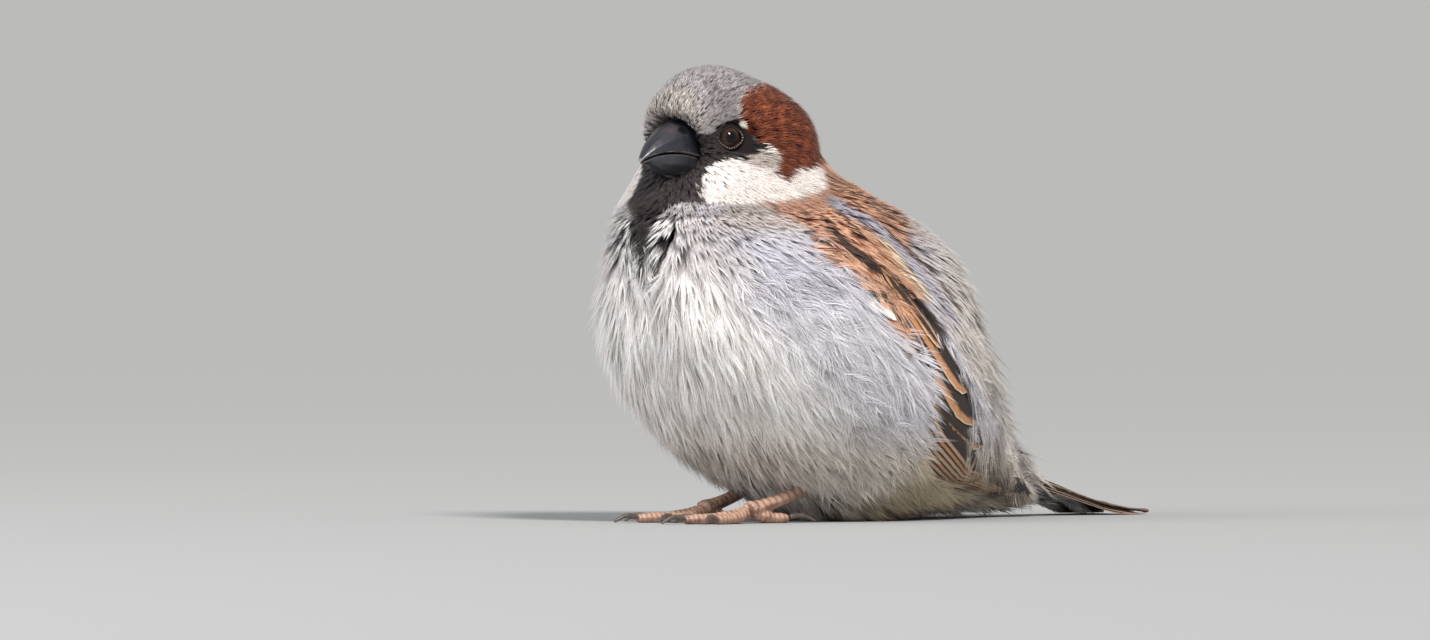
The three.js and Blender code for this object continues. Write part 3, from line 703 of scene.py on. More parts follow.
def grow(name, roots, barbs, length, half_width, barb_width, angles, lift, unwrap, shaggy=0.14, relief=0.14,
         pull=None, pale_from=0.5, flicker=0.08, variety=0.03):
    """Soft feathers: each is a comb of barbs on a shaft that leaves the skin and comes up to the coat's top.

    Lengths, widths, lift and pull are in mm. Angles are the first and last barbs' to the shaft, in degrees.
    Shaggy is the spread of the shafts' turns in radians, relief how far the normals fan out, pull the way to
    the middle of the feather's lock, and pale_from where along the feather its down's colour ends. Flicker
    and variety are the spreads of brightness from barb to barb and from feather to feather.
    """
    n = len(roots)
    length, half_width, barb_width, lift, first_angle, last_angle, pale_from, flicker = (
        np.broadcast_to(v, n) for v in (length, half_width, barb_width, lift, *angles, pale_from, flicker))
    pull = np.zeros((n, 3)) if pull is None else pull
    length = length * rng.uniform(0.85, 1.15, n)
    swing = rng.normal(0, 1, n) * shaggy
    at = np.linspace(0, 1, STATIONS)
    p, places, normals, before = roots, [], [], np.zeros((n, 3))
    for k in range(STATIONS):
        place, normal = onto_coat(p)
        way = lie(place, normal)
        across = np.cross(normal, way)
        way = unit(way * np.cos(swing)[:, None] + across * np.sin(swing)[:, None] + STIFFNESS * before)
        before = way
        places.append(place)
        normals.append(normal)
        p = (place + way * (length / (STATIONS - 1))[:, None]
             + pull * ((k + 1) ** 2 - k ** 2) / (STATIONS - 1) ** 2)
    places, normals = np.array(places), np.array(normals)
    deep = coat_depth(roots)
    under = deep[None] * (1 - at[:, None] ** 0.65) - lift[None] * at[:, None] ** 2.5
    line = places - normals * under[..., None]
    ways = unit(np.gradient(line, axis=0))
    sideways = unit(np.cross(normals, ways))
    stray = rng.normal(0, 0.15, (n, 3))
    shade = 1 + rng.normal(0, 1, n) * variety + (0.02 + variety) * mottle(roots, 8)
    # feathers near the middle of their lock are painted a little lighter and those at its edge darker:
    # painted light and shade of the locks
    shade = shade * (1.08 - 0.36 * smooth(np.linalg.norm(pull, axis=1), 0.2, 1.5))
    chance = rng.random(n)

    def between(values, t):
        k = min(int(t * (STATIONS - 1)), STATIONS - 2)
        f = t * (STATIONS - 1) - k
        return values[k] * (1 - f) + values[k + 1] * f

    def coloured(look, along, out):
        """The colour at a share of the length and a share of the barb out from the shaft."""
        main, core, tip, down = (look[:, i:i + 3] for i in (0, 3, 6, 9))
        core_share, tip_start, dark = look[:, 12], look[:, 13], chance < look[:, 14]
        c = blend(main, core, np.maximum(core_share * (1 - smooth(out, 0.2, 0.85)), 0.85 * dark))
        c = blend(c, tip, smooth(along, tip_start - 0.06, tip_start + 0.10))
        return blend(down, c, smooth((along - 0.18) / (pale_from - 0.18), 0, 1))

    verts, cols, norms, uvs = [], [], [], []
    for j in range(barbs):
        u = (j + 0.5) / barbs
        t = FIRST_BARB + (LAST_BARB - FIRST_BARB) * u
        x, way, out, up = (between(v, t) for v in (line, ways, sideways, normals))
        angle = np.radians(first_angle + (last_angle - first_angle) * u ** 0.8)
        wide = half_width * (1 - 1.25 * (u - 0.32) ** 2) * (0.55 + 0.45 * min(1, u / 0.25))
        for sign in (-1, 1):
            w = wide * rng.uniform(0.8, 1.2, n)
            ahead = w / np.tan(angle) * rng.uniform(0.85, 1.15, n)
            bend = rng.normal(0, 0.10, n) * w
            x0 = x + way * (rng.normal(0, 0.04, n) * length / barbs)[:, None]
            x1 = (x0 + way * (KNEE_AHEAD * ahead)[:, None] + out * (sign * KNEE_OUT * w)[:, None]
                  - up * (0.05 * w)[:, None])
            x2 = x0 + way * (ahead + bend)[:, None] + out * (sign * w)[:, None] - up * (0.14 * w)[:, None]
            along = unit(x2 - x0)
            thick = np.cross(along, up) * (barb_width / 2 * rng.uniform(0.75, 1.25, n))[:, None]
            verts.append(np.stack([x0 - thick, x0 + thick, x1 + thick * 0.95, x1 - thick * 0.95, x2], 1))
            bright = (shade * (1 + rng.normal(0, 1, n) * flicker))[:, None]
            look = looks_at(x2 + stray)
            lean = up + out * rng.normal(0, 0.13, n)[:, None] + way * rng.normal(0, 0.08, n)[:, None]
            norms.append(np.stack([lean + out * (sign * q * relief) for q in BARB_LEANS], 1))
            cols.append(np.stack([coloured(look, t + ahead / length * a, np.full(n, b)) * bright
                                  for a, b in BARB_POINTS], 1))
            uvs.append(np.stack([np.stack([np.full(n, sign * b), t + 0.3 * a * np.ones(n)], 1)
                                 for a, b in BARB_POINTS], 1))
    verts, cols, norms, uvs = (np.stack(v, 1).reshape(n, -1, v[0].shape[-1])
                               for v in (verts, cols, norms, uvs))
    corners = len(BARB_POINTS)
    start = np.arange(n * barbs * 2)[:, None] * corners
    quads, tris = start + [0, 1, 2, 3], start + [3, 2, 4]
    # the shaft: a fine strip from the skin to the tip, a little above its barbs
    shaft = (barb_width * 0.42 * (1 - 0.7 * at)[:, None])[..., None]
    middle = line + normals * SHAFT_RISE
    strip = np.stack([middle - sideways * shaft, middle + sideways * shaft], 2).transpose(1, 0, 2, 3)
    look = looks_at(places[3] + stray)
    strip_cols = np.stack([coloured(look, np.full(n, t), np.full(n, 0.3)) * 0.9 * shade[:, None]
                           for t in at], 1)
    strip_cols, strip_norms = (np.repeat(v, 2, axis=1) for v in (strip_cols, normals.transpose(1, 0, 2)))
    strip_uv = np.stack([np.zeros(n * STATIONS * 2), np.tile(np.repeat(at, 2), n)], 1).reshape(n, -1, 2)
    s0 = n * barbs * 2 * corners + np.arange(n)[:, None] * STATIONS * 2
    shaft_quads = np.concatenate([s0 + [2 * k, 2 * k + 1, 2 * k + 3, 2 * k + 2] for k in range(STATIONS - 1)])
    place = unwrap(roots)[:, None]

    def both(barb_rows, shaft_rows):
        return np.concatenate([v.reshape(-1, v.shape[-1]) for v in (barb_rows, shaft_rows)])

    grown = both(verts, strip)
    grown[:, 2] = np.maximum(grown[:, 2], LOWEST)
    return mesh_piece(name, grown, np.concatenate([quads, shaft_quads]), tris,
                      np.clip(both(cols, strip_cols), 0, 1), both(norms, strip_norms),
                      both(place + uvs * TUFT_PATCH, place + strip_uv * TUFT_PATCH))


def unwrap_round(centre, pole):
    """An unwrap of the skin round a centre: the turn about a pole, and how far down from it."""
    pole = unit(np.asarray(pole, float))
    east = unit(np.cross(pole, [1.0, 0.2, 0.1]))
    north = np.cross(pole, east)

    def place(points):
        d = unit(points - centre)
        turn = np.arctan2(d @ north, d @ east) / (2 * math.pi) + 0.5
        fall = np.arccos(np.clip(d @ pole, -1, 1)) / math.pi
        low, high = fall.min(), fall.max()
        return np.stack([0.01 + 0.97 * turn, 0.01 + 0.97 * (fall - low) / max(high - low, 1e-6)], 1)

    return place


bill_box = copy_nodes("bill_guard", ["bill_upper", "bill_lower"])
bill_tree = bvhtree.BVHTree.FromPolygons(points_of(bill_box).tolist(),
                                         [list(f.vertices) for f in bill_box.data.polygons])
bpy.data.objects.remove(bill_box)


BILL_DEEP = 6  # mm: nothing inside the bill is deeper than this


def clear_of_bill(points, gap):
    """True where a point is outside the bill by more than the gap."""
    good = np.ones(len(points), bool)
    for i, p in enumerate(points.tolist()):
        hit, normal, _, far = bill_tree.find_nearest(p)
        if far < gap or (far < BILL_DEEP and (Vector(p) - hit).dot(normal) < 0):
            good[i] = False
    return good


def spacing(points):
    """How far apart the feathers' roots are: closest at the bill and the eyes."""
    side, forward, z = head_place(points)
    s, turn, _ = spine_place(points)
    upper = smooth(100 - turn, 0, 10)
    gap = 1.08 - 0.06 * upper * smooth(30 - s, 0, 6) + 0.5 * upper * smooth(s, 28, 36)
    gap = gap * (0.6 + 0.4 * smooth(-above_crease(forward, z), 0, 12))
    head = smooth(above_crease(forward, z), -2.5, 0.5)
    head *= smooth(HEAD_COAT_REACH - np.hypot(side, forward), 0, 2)
    face = smooth(forward, 0, 8)
    throat = smooth(62 - z, 0, 3) * smooth(forward, 8, 11)
    crown = smooth(z, 70, 73)
    return gap + (0.58 - 0.08 * face - 0.08 * throat - 0.06 * crown - gap) * head


# The wing shows between the back's feathers and the flank's: no feather is rooted there or reaches far in.
# Both edges are given as along the spine in mm and across the wing's band
COVER = ([-6, -3, 2, 5, 9, 12, 19, 22, 24, 28, 31, 35, 40, 90],
         [1.1, 0.9, 0.5, 0.5, 0.5, 0.42, 0.5, 0.25, 0.14, 0.42, 0.72, 1.15, 1.35, 1.5])
BACK_EDGE = ([11, 14, 17, 22, 28, 40, 47, 58], [0.02, -0.55, -0.95, -0.9, -0.75, -0.6, -0.45, -0.15])
BACK_EDGE_START, SHOULDER_EDGE = 11, 0.12  # nearer the head than the first, the edge stands at the second
REACH = ([8, 20], [9.0, 11.5])  # mm: how long a feather is taken to be, down the spine
# for a feather's root, middle and tip: its share of the length, how far below the back's edge the bare band
# starts, and how far over the flank's edge it ends
OVERHANGS = [(0.0, 0.16, 0.16), (0.6, 0.25, -0.03), (1.0, 0.25, 0.06)]
FAR = 9.0  # a clearance that is no limit
TAIL_BARE, VENT_END = 48, 60  # mm: y where the coat ends on top of the tail and under it
FLOOR_GAP, EYE_GAP, BILL_GAP = 1.5, 2.55, 0.15  # mm: no feather is rooted closer than this

feather_roots = spread_roots(spacing)
_, root_normals = onto_coat(feather_roots)
s, _, _ = spine_place(feather_roots)
on_wing, clear = np.zeros(len(feather_roots), bool), np.full(len(feather_roots), FAR)
turned_over = np.zeros(len(feather_roots), bool)
for share, past_back, short in OVERHANGS:
    ahead = feather_roots + lie(feather_roots, root_normals) * (np.interp(s, *REACH) * share)[:, None]
    ahead, ahead_normals = onto_coat(ahead)
    turned_over |= ahead_normals[:, 2] > -0.1
    along, across = wing_place(ahead)
    edge = np.where(along < BACK_EDGE_START, SHOULDER_EDGE, np.interp(along, *BACK_EDGE))
    below_back = across > edge + past_back
    past_edge = across - np.interp(along, *COVER)
    clear = np.minimum(clear, np.where(below_back, past_edge, FAR))
    on_wing |= (along > -3) & (along < 90) & (past_edge < short) & below_back
y, z = feather_roots[:, 1], feather_roots[:, 2]
on_tail = (y > TAIL_BARE) & ((root_normals[:, 2] > -0.3) | (y > VENT_END) | turned_over)
keep = ~on_wing & ~on_tail & (z >= FLOOR_GAP) & (from_eye(*head_place(feather_roots)) > EYE_GAP)
feather_roots, clear = feather_roots[keep], clear[keep]
keep = clear_of_bill(feather_roots, BILL_GAP)
feather_roots, clear = feather_roots[keep], clear[keep]

# Loose keratin barbs: matt, with a faint pale sheen where light grazes the fluff.
# Single barbules are too fine to show, so the grain is that of clumps: 2.6 to the mm
plumage, nodes, tone, grain = grained("contour_feather_keratin", 1 / 2.6, detail=2.0)
finish_surface(nodes, {"Base Color": flecked(nodes, tone.outputs["Color"], grain, (0.3, 0.7), (0.88, 1.10)),
                       "Roughness": 0.72, "Specular IOR Level": 0.25,
                       "Sheen Weight": 0.12, "Sheen Roughness": 0.45})

# the coat's pieces, by where the feathers are rooted
FACE_START, BREAST_END, BELLY_END = 1.5, -22, 30  # mm: forward on the head, and y on the body
BELLY_TURN, BACK_TURN, RUMP_START = 135, 88, 30  # degrees from the back, and mm down the spine
side, forward, z = head_place(feather_roots)
s, turn, _ = spine_place(feather_roots)
x, y = feather_roots[:, 0], feather_roots[:, 1]
is_head = (above_crease(forward, z) > 0) & (np.hypot(side, forward) < HEAD_COAT_REACH)
groups = {"coat_face": is_head & (forward > FACE_START), "coat_nape": is_head & (forward <= FACE_START)}
whole, halves = {"": True}, {"_left": x > 0, "_right": x <= 0}
behind, above = y >= BREAST_END, turn <= BACK_TURN
for region, there, shares in (
    ("breast", ~behind, halves),
    ("belly", behind & (turn > BELLY_TURN) & (y < BELLY_END), whole),
    ("flank", behind & (turn <= BELLY_TURN) & ~above & (y < BELLY_END), halves),
    ("back", behind & above & (s < RUMP_START), halves),
    ("rump", behind & ((above & (s >= RUMP_START)) | (~above & (y >= BELLY_END))), whole),
):
    groups |= {f"coat_{region}{half}": ~is_head & there & on_side for half, on_side in shares.items()}

round_head = unwrap_round(np.array([*HEAD, 67.0]), AHEAD)
round_body = unwrap_round(np.array([0.0, 2.0, 32.0]), SPINE_WAY)
HOCKS = {"left": np.array([9.0, -2.2, 8.2]), "right": np.array([-9.0, 0.3, 8.2])}
LEG_LEAVES = np.array([[8.4, -8.6, 7.4], [-8.4, -6.0, 7.4]])  # where the legs leave the coat
LOCK_GAP = 2.6  # mm between the middles of the locks that belly, breast and rump feathers gather into
HEAD_BARBS, BODY_BARBS = 6, 20  # on each side of a feather's shaft
locks = lock_middles(feather_roots, LOCK_GAP)
for name, chosen in groups.items():
    roots = feather_roots[chosen]
    if name in ("coat_face", "coat_nape"):
        _, f, h = head_place(roots)
        face = smooth(f, 3, 11)
        throat = smooth(62 - h, 0, 3)
        cheek = smooth(67 - h, 0, 3) * smooth(12 - f, 0, 2)
        crown = smooth(h, 70, 73)
        length = 2.2 - 0.7 * face + 0.6 * throat + 0.8 * smooth(-f, 4, 12)
        length = length + 0.5 * cheek - 0.35 * crown * (1 - face)
        barb = 0.10 - 0.02 * throat - 0.015 * cheek
        o = grow(name, roots, HEAD_BARBS, length, length * 0.22, barb, angles=(30, 10), lift=0.01,
                 unwrap=round_head, shaggy=0.13 - 0.07 * cheek, relief=0.07,
                 flicker=0.08 + 0.20 * crown, variety=0.03 + 0.13 * crown)
    else:
        sr, tr, _ = spine_place(roots)
        _, f, h = head_place(roots)
        fold = smooth(-above_crease(f, h), -0.5, 11)
        belly = smooth(tr, 120, 150) * smooth(30 - roots[:, 2], 0, 12)
        upper = smooth(100 - tr, 0, 10)
        rump = upper * smooth(sr, 26, 36)
        along, across = wing_place(roots)
        off_wing = across - np.interp(along, *COVER)
        # the flank's feathers are broad and open, the belly's hang in pointed locks
        loose = smooth(tr, 82, 92) * smooth(144 - tr, 0, 14) * smooth(fold, 0.4, 0.9)
        loose *= smooth(clear[chosen], 0.1, 0.8)
        breast = smooth(tr, 118, 134) * smooth(fold, 0.3, 0.8)
        length = 3.0 + (6.5 + 2.5 * belly + 1.5 * loose) * fold
        width = 1.9 - 0.7 * belly - 0.8 * upper * (1 - rump) + 1.5 * loose * (1 - belly)
        width = width * (0.3 + 0.7 * fold)
        lift = 0.08 + 0.5 * belly + 1.1 * smooth(74 - tr, 0, 20) * smooth(sr, 14, 26)
        lift = (lift * rng.uniform(0.5, 1.5, len(roots))
                + (1.0 * rump + 0.8 * breast) * rng.random(len(roots)) ** 3)
        lift += 0.5 * smooth(off_wing, -0.15, 0.05) * smooth(0.7 - off_wing, 0, 0.4) * smooth(along, 0, 6)
        # round the legs they are longer and stand off, so that each leg comes out from among them
        near_leg = np.max([smooth(8.5 - np.linalg.norm(roots - p, axis=1), 0, 4) for p in LEG_LEAVES], axis=0)
        length = length + 2.0 * near_leg
        lift = lift + 1.8 * near_leg
        pull = (locks[chosen] - roots) * np.maximum.reduce([0.75 * belly, 0.5 * breast, 0.5 * rump])[:, None]
        o = grow(name, roots, BODY_BARBS, length, width, 0.10 + 0.04 * fold - 0.02 * loose,
                 angles=(36 + 4 * loose - 8 * belly, 8 + 14 * loose * (1 - belly)), lift=lift,
                 unwrap=round_body, shaggy=0.14 + 0.12 * loose, pull=pull,
                 pale_from=0.5 + 0.30 * np.maximum(loose, belly), flicker=0.08 + 0.12 * loose + 0.06 * belly,
                 variety=0.03 + 0.07 * loose + 0.05 * belly)
    o.data.materials.append(plumage)
    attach(o, "root")

# ---- wing feathers
band_rows, band_cols = np.linspace(-6, 79, 52), np.linspace(-0.8, 0.8, 7)
RAY_FROM, BAND_JUMP = 60, 4  # mm: where the rays start, and a step that is off the wing
BAND_BLUR = np.array([1, 4, 6, 4, 1]) / 16  # weights that smooth the table along the wing
BAND_PAST, THINNEST = 1.1, 2  # how far past its edges the band curves on, and its least radius in mm


def ray_out(s, turn, sign):
    """Radius of the coat's surface at a place on the spine, looking in from outside."""
    a = math.radians(turn)
    way = BACK_WAY * math.cos(a) + np.array([sign, 0, 0]) * math.sin(a)
    from_point = SPINE_FROM + SPINE_WAY * s + way * RAY_FROM
    hit = coat_tree.ray_cast(Vector(from_point), Vector(-way))
    return RAY_FROM - hit[3] if hit[0] is not None else np.nan


def band_radius(sign):
    """The wing's outer surface: at each row, the radius as a curve of the share across."""
    table = np.zeros((len(band_rows), 3))
    for i, s in enumerate(band_rows):
        middle, half = band_at(s)
        r0 = ray_out(s, middle, sign)
        if np.isnan(r0):
            table[i] = table[i - 1]
            continue
        r = np.array([ray_out(s, middle + math.degrees(v * half / r0), sign) for v in band_cols])
        good = ~np.isnan(r) & (np.abs(r - r0) < BAND_JUMP)
        table[i] = np.polyfit(band_cols[good], r[good], 2) if good.sum() > 3 else (0, 0, r0)
    padded = np.pad(table, ((2, 2), (0, 0)), mode="edge")
    return np.stack([np.convolve(padded[:, k], BAND_BLUR, "valid") for k in range(3)], 1)


def on_band(table, sign, s, v, lift):
    """A point on the wing's outer surface, lifted off it by lift mm."""
    middle, half = band_at(s)
    a, b, c = (np.interp(s, band_rows, table[:, k]) for k in range(3))
    w = np.clip(v, -BAND_PAST, BAND_PAST)
    r = a * w * w + b * w + c
    angle = np.radians(middle) + v * half / np.maximum(c, THINNEST)
    out = BACK_WAY * np.cos(angle)[..., None] + np.array([sign, 0, 0]) * np.sin(angle)[..., None]
    return SPINE_FROM + SPINE_WAY * s[..., None] + out * (r + lift)[..., None]


VANE_ALONG = 22  # how many cells a vane has from root to tip
VANE_ACROSS = np.array([-1, -0.9, -0.78, -0.5, -0.2, -0.05, 0.05, 0.25, 0.45, 0.6, 0.72, 0.82, 0.91, 1])
VANE_THICK = 0.16  # mm
# Rows of the folded wing, from the primaries up to the longest scapular: pattern, how many, the root, middle
# and tip of the first and of the last feather as (along the spine in mm, across the band), half width in mm,
# height over the wing's surface in mm, and where along the feather its tip starts to round off
WING_ROWS = [
    ("flight", 7, ((30, 1.45), (53, 1.25), (69, 1.1)), ((36, 0.7), (60, 0.45), (80, 0.2)), 2.0, -0.30, 0.85),
    ("flight", 8, ((20, 1.2), (42, 1.2), (60, 0.98)), ((20, 0.45), (42, 0.36), (66, 0.22)), 2.2, -0.15, 0.78),
    ("tertial", 4, ((16, 0.9), (39, 0.56), (60, 0.16)), ((8, -0.4), (23, -0.3), (36.5, -0.42)),
     2.0, 0.04, 0.74),
    ("covert", 4, ((6, 0.95), (15, 0.86), (25, 0.92)), ((8, 0.10), (16, 0.12), (27, 0.26)), 1.5, 0.22, 0.6),
    ("rufous", 2, ((8, 0.42), (14, 0.44), (20, 0.52)), ((7, 0.28), (13, 0.30), (18, 0.40)), 0.9, 0.42, 0.55),
    ("white", 4, ((1, 0.62), (5, 0.56), (9, 0.50)), ((5, 0.36), (9, 0.34), (13.5, 0.28)), 0.95, 0.55, 0.45),
    ("scapular", 1, *[((8, -0.36), (16, -0.34), (25.6, -0.33))] * 2, 1.1, 0.5, 0.72),
]
# mm: up across a vane to its outer edge, from one vane up to the next, and how far the tips stray
VANE_TILT, VANE_STEP, TIP_STRAY = 0.16, 0.06, 0.25
INNER_SHARE = 0.9  # of half a vane's width is its inner web
VANE = {
    "dark": tint("#302622"), "mid": tint("#47392f"), "buff": tint("#c2a081"), "orange": tint("#bd8860"),
    "cream": tint("#e2cdb0"), "white": tint("#ece6df"), "lilac": tint("#c3b8c4"), "rufous": tint("#b3704f"),
    "blueblack": tint("#25252c"), "tail": tint("#7d6a5e"), "tail_edge": tint("#bfa491"),
}


def vane_colours(kind, u, w, wide, rank):
    """The pattern of a wing or tail feather: u runs from root to tip, w across, above 0 on the outer web."""
    edge = (1 - np.abs(w)) * wide  # mm in from the margin
    outer_web = smooth(w, 0.0, 0.02)
    if kind == "flight":
        line = smooth(0.62 - edge, 0, 0.22) * outer_web
        layers = [("mid", smooth(-w, 0.1, 0.4)),
                  ("buff" if rank % 3 else "orange", line * (1 - 0.75 * smooth(u, 0.8, 0.97))),
                  ("orange", outer_web * smooth(0.35 - u, 0, 0.15) * 0.6),
                  ("blueblack", smooth(u, 0.84, 0.93) * (1 - line))]
    elif kind == "tertial":
        border = smooth(1.3 - 0.3 * (rank == 1) - edge, 0, 0.3) * outer_web
        layers = [("orange", border * (1 - 0.3 * smooth(u, 0.9, 1))),
                  ("cream", smooth(0.30 - edge, 0, 0.15) * smooth(u, 0.5, 0.8) * outer_web)]
    elif kind == "covert":
        layers = [("mid", np.full(u.shape, 0.5)),
                  ("lilac", smooth(0.42 - edge, 0, 0.15) * (1 - outer_web) * smooth(u, 0.3, 0.5)),
                  ("buff", smooth(0.5 - edge, 0, 0.2) * outer_web)]
    elif kind == "rufous":
        layers = [("rufous", smooth(u, 0.2, 0.4))]
    elif kind == "white":
        layers = [("white", smooth(u + 0.1 * np.abs(w), 0.5, 0.6))]
    elif kind == "scapular":
        layers = [("orange", smooth(0.62 - edge, 0, 0.2)),
                  ("cream", smooth(0.26 - edge, 0, 0.12) * smooth(u, 0.6, 0.75))]
    else:
        layers = [("tail", 0.30 + 0.5 * outer_web), ("tail_edge", smooth(0.42 - edge, 0, 0.2) * outer_web)]
    c = np.tile(VANE["dark"], (*u.shape, 1))
    for colour, share in layers:
        c = blend(c, VANE[colour], share)
    return c


def vane_piece(name, feathers):
    """Closed feather vanes: each has a place function of (u, w) to a point, a half width and a pattern."""
    u, w = np.meshgrid(np.linspace(0, 1, VANE_ALONG + 1), VANE_ACROSS, indexing="ij")
    across = len(VANE_ACROSS)
    sheet = u.size  # how many corners each face of a vane has
    # the rim runs round a vane: along its root, up its right edge, back along its tip and down its left edge
    rim = np.concatenate([np.arange(across), np.arange(2, VANE_ALONG + 2) * across - 1,
                          VANE_ALONG * across + np.arange(across - 2, -1, -1),
                          np.arange(VANE_ALONG - 1, 0, -1) * across])
    i, j = np.meshgrid(np.arange(VANE_ALONG), np.arange(across - 1), indexing="ij")
    top_cells, after = i * across + j, np.roll(rim, -1)
    low_cells = top_cells + sheet
    faces = np.concatenate([
        np.stack([top_cells, top_cells + 1, top_cells + 1 + across, top_cells + across], -1).reshape(-1, 4),
        np.stack([low_cells, low_cells + across, low_cells + 1 + across, low_cells + 1], -1).reshape(-1, 4),
        np.stack([rim, rim + sheet, after + sheet, after], -1)])
    verts, cols, uvs, quads = [], [], [], []
    # the bake map's grid, with cells about three times as high as they are wide
    columns = math.ceil(math.sqrt(len(feathers) * 3))
    lines = math.ceil(len(feathers) / columns)
    for index, (place, half_width, pointed, kind, rank) in enumerate(feathers):
        full = np.minimum(1, (u / 0.22 + 0.12)) ** 0.7
        taper = np.sqrt(np.clip(1 - (np.clip(u - pointed, 0, 1) / (1 - pointed)) ** 2, 0.0, 1))
        frayed = 1 + 0.05 * np.sin(u * 61 + index * 2.1) * smooth(u, 0.5, 0.9)
        wide = half_width * full * np.maximum(taper, 0.05) * frayed
        verts += [place(u, w, wide, 0.0), place(u, w, wide, -VANE_THICK)]
        c = vane_colours(kind, u, w, np.maximum(wide, 0.3), rank)
        # faint bars across, one brightness for each feather, and a paler shaft down its middle
        streak = 1 + 0.05 * np.sin(u * 150 + np.abs(w) * 9) + rng.normal(0, 0.03)
        c = c * (streak + 0.25 * np.exp(-((w / 0.05) ** 2)))[..., None]
        # the vanes' undersides are painted darker: painted shade
        cols += [c, c * 0.7]  # the underside is darker
        uvs += [np.stack([(index % columns + 0.08 + 0.84 * (w + 1) / 2) / columns,
                          (index // columns + 0.04 + 0.92 * u) / lines], -1)] * 2
        quads.append(faces + index * 2 * sheet)
    verts, cols, uvs = (np.concatenate(v).reshape(-1, v[0].shape[-1]) for v in (verts, cols, uvs))
    o = mesh_piece(name, verts, np.concatenate(quads), [], np.clip(cols, 0, 1), uv=uvs)
    face_outward(o)
    o.data.materials.append(vane_horn)
    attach(o, "root")


def wing_vane(table, sign, line, level):
    """The place function of a wing feather laid on the band along a curve by its root, middle and tip."""
    def place(u, w, wide, drop):
        bends = (2 * (u - 0.5) * (u - 1), 4 * u * (1 - u), 2 * u * (u - 0.5))
        s, v = (sum(line[k][i] * bends[k] for k in range(3)) for i in (0, 1))
        across = np.where(w < 0, w * INNER_SHARE, w * (2 - INNER_SHARE)) * wide
        v = v + across / np.maximum(band_at(s)[1], 2.2)
        # it rises out of the coat at its root, tilts up at its outer web, curves down at both edges and sinks
        # under the flank's feathers where they cover it
        lift = (level * (0.35 + 0.65 * smooth(u, 0.1, 0.9)) + VANE_TILT * w * smooth(u, 0.05, 0.4)
                - 0.10 * w * w + drop)
        lift = lift - (0.3 + level) * smooth(v - np.interp(s, *COVER), 0.02, 0.25)
        return on_band(table, sign, s, v, lift)
    return place


# Zipped vanes of keratin: smoother and a little glossier than the fluff. The barbs' lines are too fine to
# show, so the grain is that of bundles of them: 1.8 to the mm
vane_horn, nodes, tone, grain = grained("flight_feather_keratin", 1 / 1.8, detail=3.0)
finish_surface(nodes, {"Base Color": flecked(nodes, tone.outputs["Color"], grain, (0.3, 0.7), (0.82, 1.14)),
                       "Roughness": 0.55, "Specular IOR Level": 0.4})

for side_name, sign in SIDES.items():
    table = band_radius(sign)
    vanes = []
    for pattern, count, first, last, wide, level, pointed in WING_ROWS:
        for k in range(count):
            f = k / max(count - 1, 1)
            line = np.array(first) * (1 - f) + np.array(last) * f
            line[2, 0] += rng.normal(0, TIP_STRAY)
            vanes.append((wing_vane(table, sign, line, level + VANE_STEP * k), wide, pointed, pattern, k))
    vane_piece(f"wing_vanes_{side_name}", vanes)

# ---- tail feathers
# each by share of the tail's length from its root, in mm
TAIL_LEVEL = ([0, 0.45, 0.8, 1], [13.5, 6.8, 2.0, 0.6])
TAIL_HALF = ([0, 0.4, 1], [5, 6, 8.2])
TAIL_THICK = ([0, 0.5, 1], [2.2, 1.5, 0.75])
TAIL_FROM, TAIL_PAIRS = 34.0, 6  # y of the root, and how many pairs of feathers
TAIL_LENGTH = TAIL_END_Y - TAIL_FROM
TAIL_ROOT, TAIL_SHORT, TAIL_NOTCH = 1.0, 1.2, 1.4  # mm: in from the root, short of the tip, and its notch
TAIL_VANE_HALF, TAIL_VANE_ROUND, TAIL_FLOOR = 2.1, 0.88, 0.2  # TAIL_FLOOR: the lowest a top side comes, in mm


def tail_vane(sign, rank):
    """The place function of a tail feather: rank 0 is the middle pair, on top, and 5 the outermost, below."""
    share = rank / (TAIL_PAIRS - 1)

    def place(u, w, wide, drop):
        length = TAIL_LENGTH - TAIL_SHORT - TAIL_NOTCH * (1 - share) ** 2
        t = (u * length + TAIL_ROOT) / TAIL_LENGTH
        half = np.interp(t, *TAIL_HALF)
        middle = sign * (0.4 + rank * (0.42 + 0.74 * t)) * half / TAIL_HALF[1][-1]
        x = np.clip(middle + sign * w * wide, 0.1 - half, half - 0.1)
        stack = np.interp(t, *TAIL_THICK) * (0.95 - 1.5 * share) - 0.12 * (sign < 0)
        z = np.interp(t, *TAIL_LEVEL) + stack + drop * 0.7 - 0.12 * w - 0.03 * x ** 2 / 2
        return np.stack([x, TAIL_FROM + TAIL_ROOT + u * length, np.maximum(z, TAIL_FLOOR + drop * 0.5)], -1)
    return place


vane_piece("tail_vanes", [(tail_vane(sign, rank), TAIL_VANE_HALF, TAIL_VANE_ROUND, "tail", rank)
                          for rank in reversed(range(TAIL_PAIRS)) for sign in (1, -1)])

# ---- bill

# Horn over bone: blue-black and smooth, with a waxy gloss that growth bands about 1.1 mm apart roughen a
# little. The coat field's alpha is the gloss, so the nostrils stay dull
horn, nodes, tone, grain = grained("bill_horn", 1 / 0.9, detail=4.0)
waxy = add(nodes, "MapRange", {"Value": grain.outputs["Fac"], "To Min": 0.26, "To Max": 0.42})
dull = add(nodes, "Math", {0: 1.0, 1: tone.outputs["Alpha"]}, operation="SUBTRACT")
rough = add(nodes, "Math", {0: waxy.outputs["Result"], 1: dull.outputs[0]}, operation="MAXIMUM")
finish_surface(nodes, {"Base Color": tone.outputs["Color"], "Roughness": rough.outputs[0],
                       "Coat Weight": 0.12, "Coat Roughness": 0.15},
               height=grain.outputs["Fac"], strength=0.25, deep=0.1)

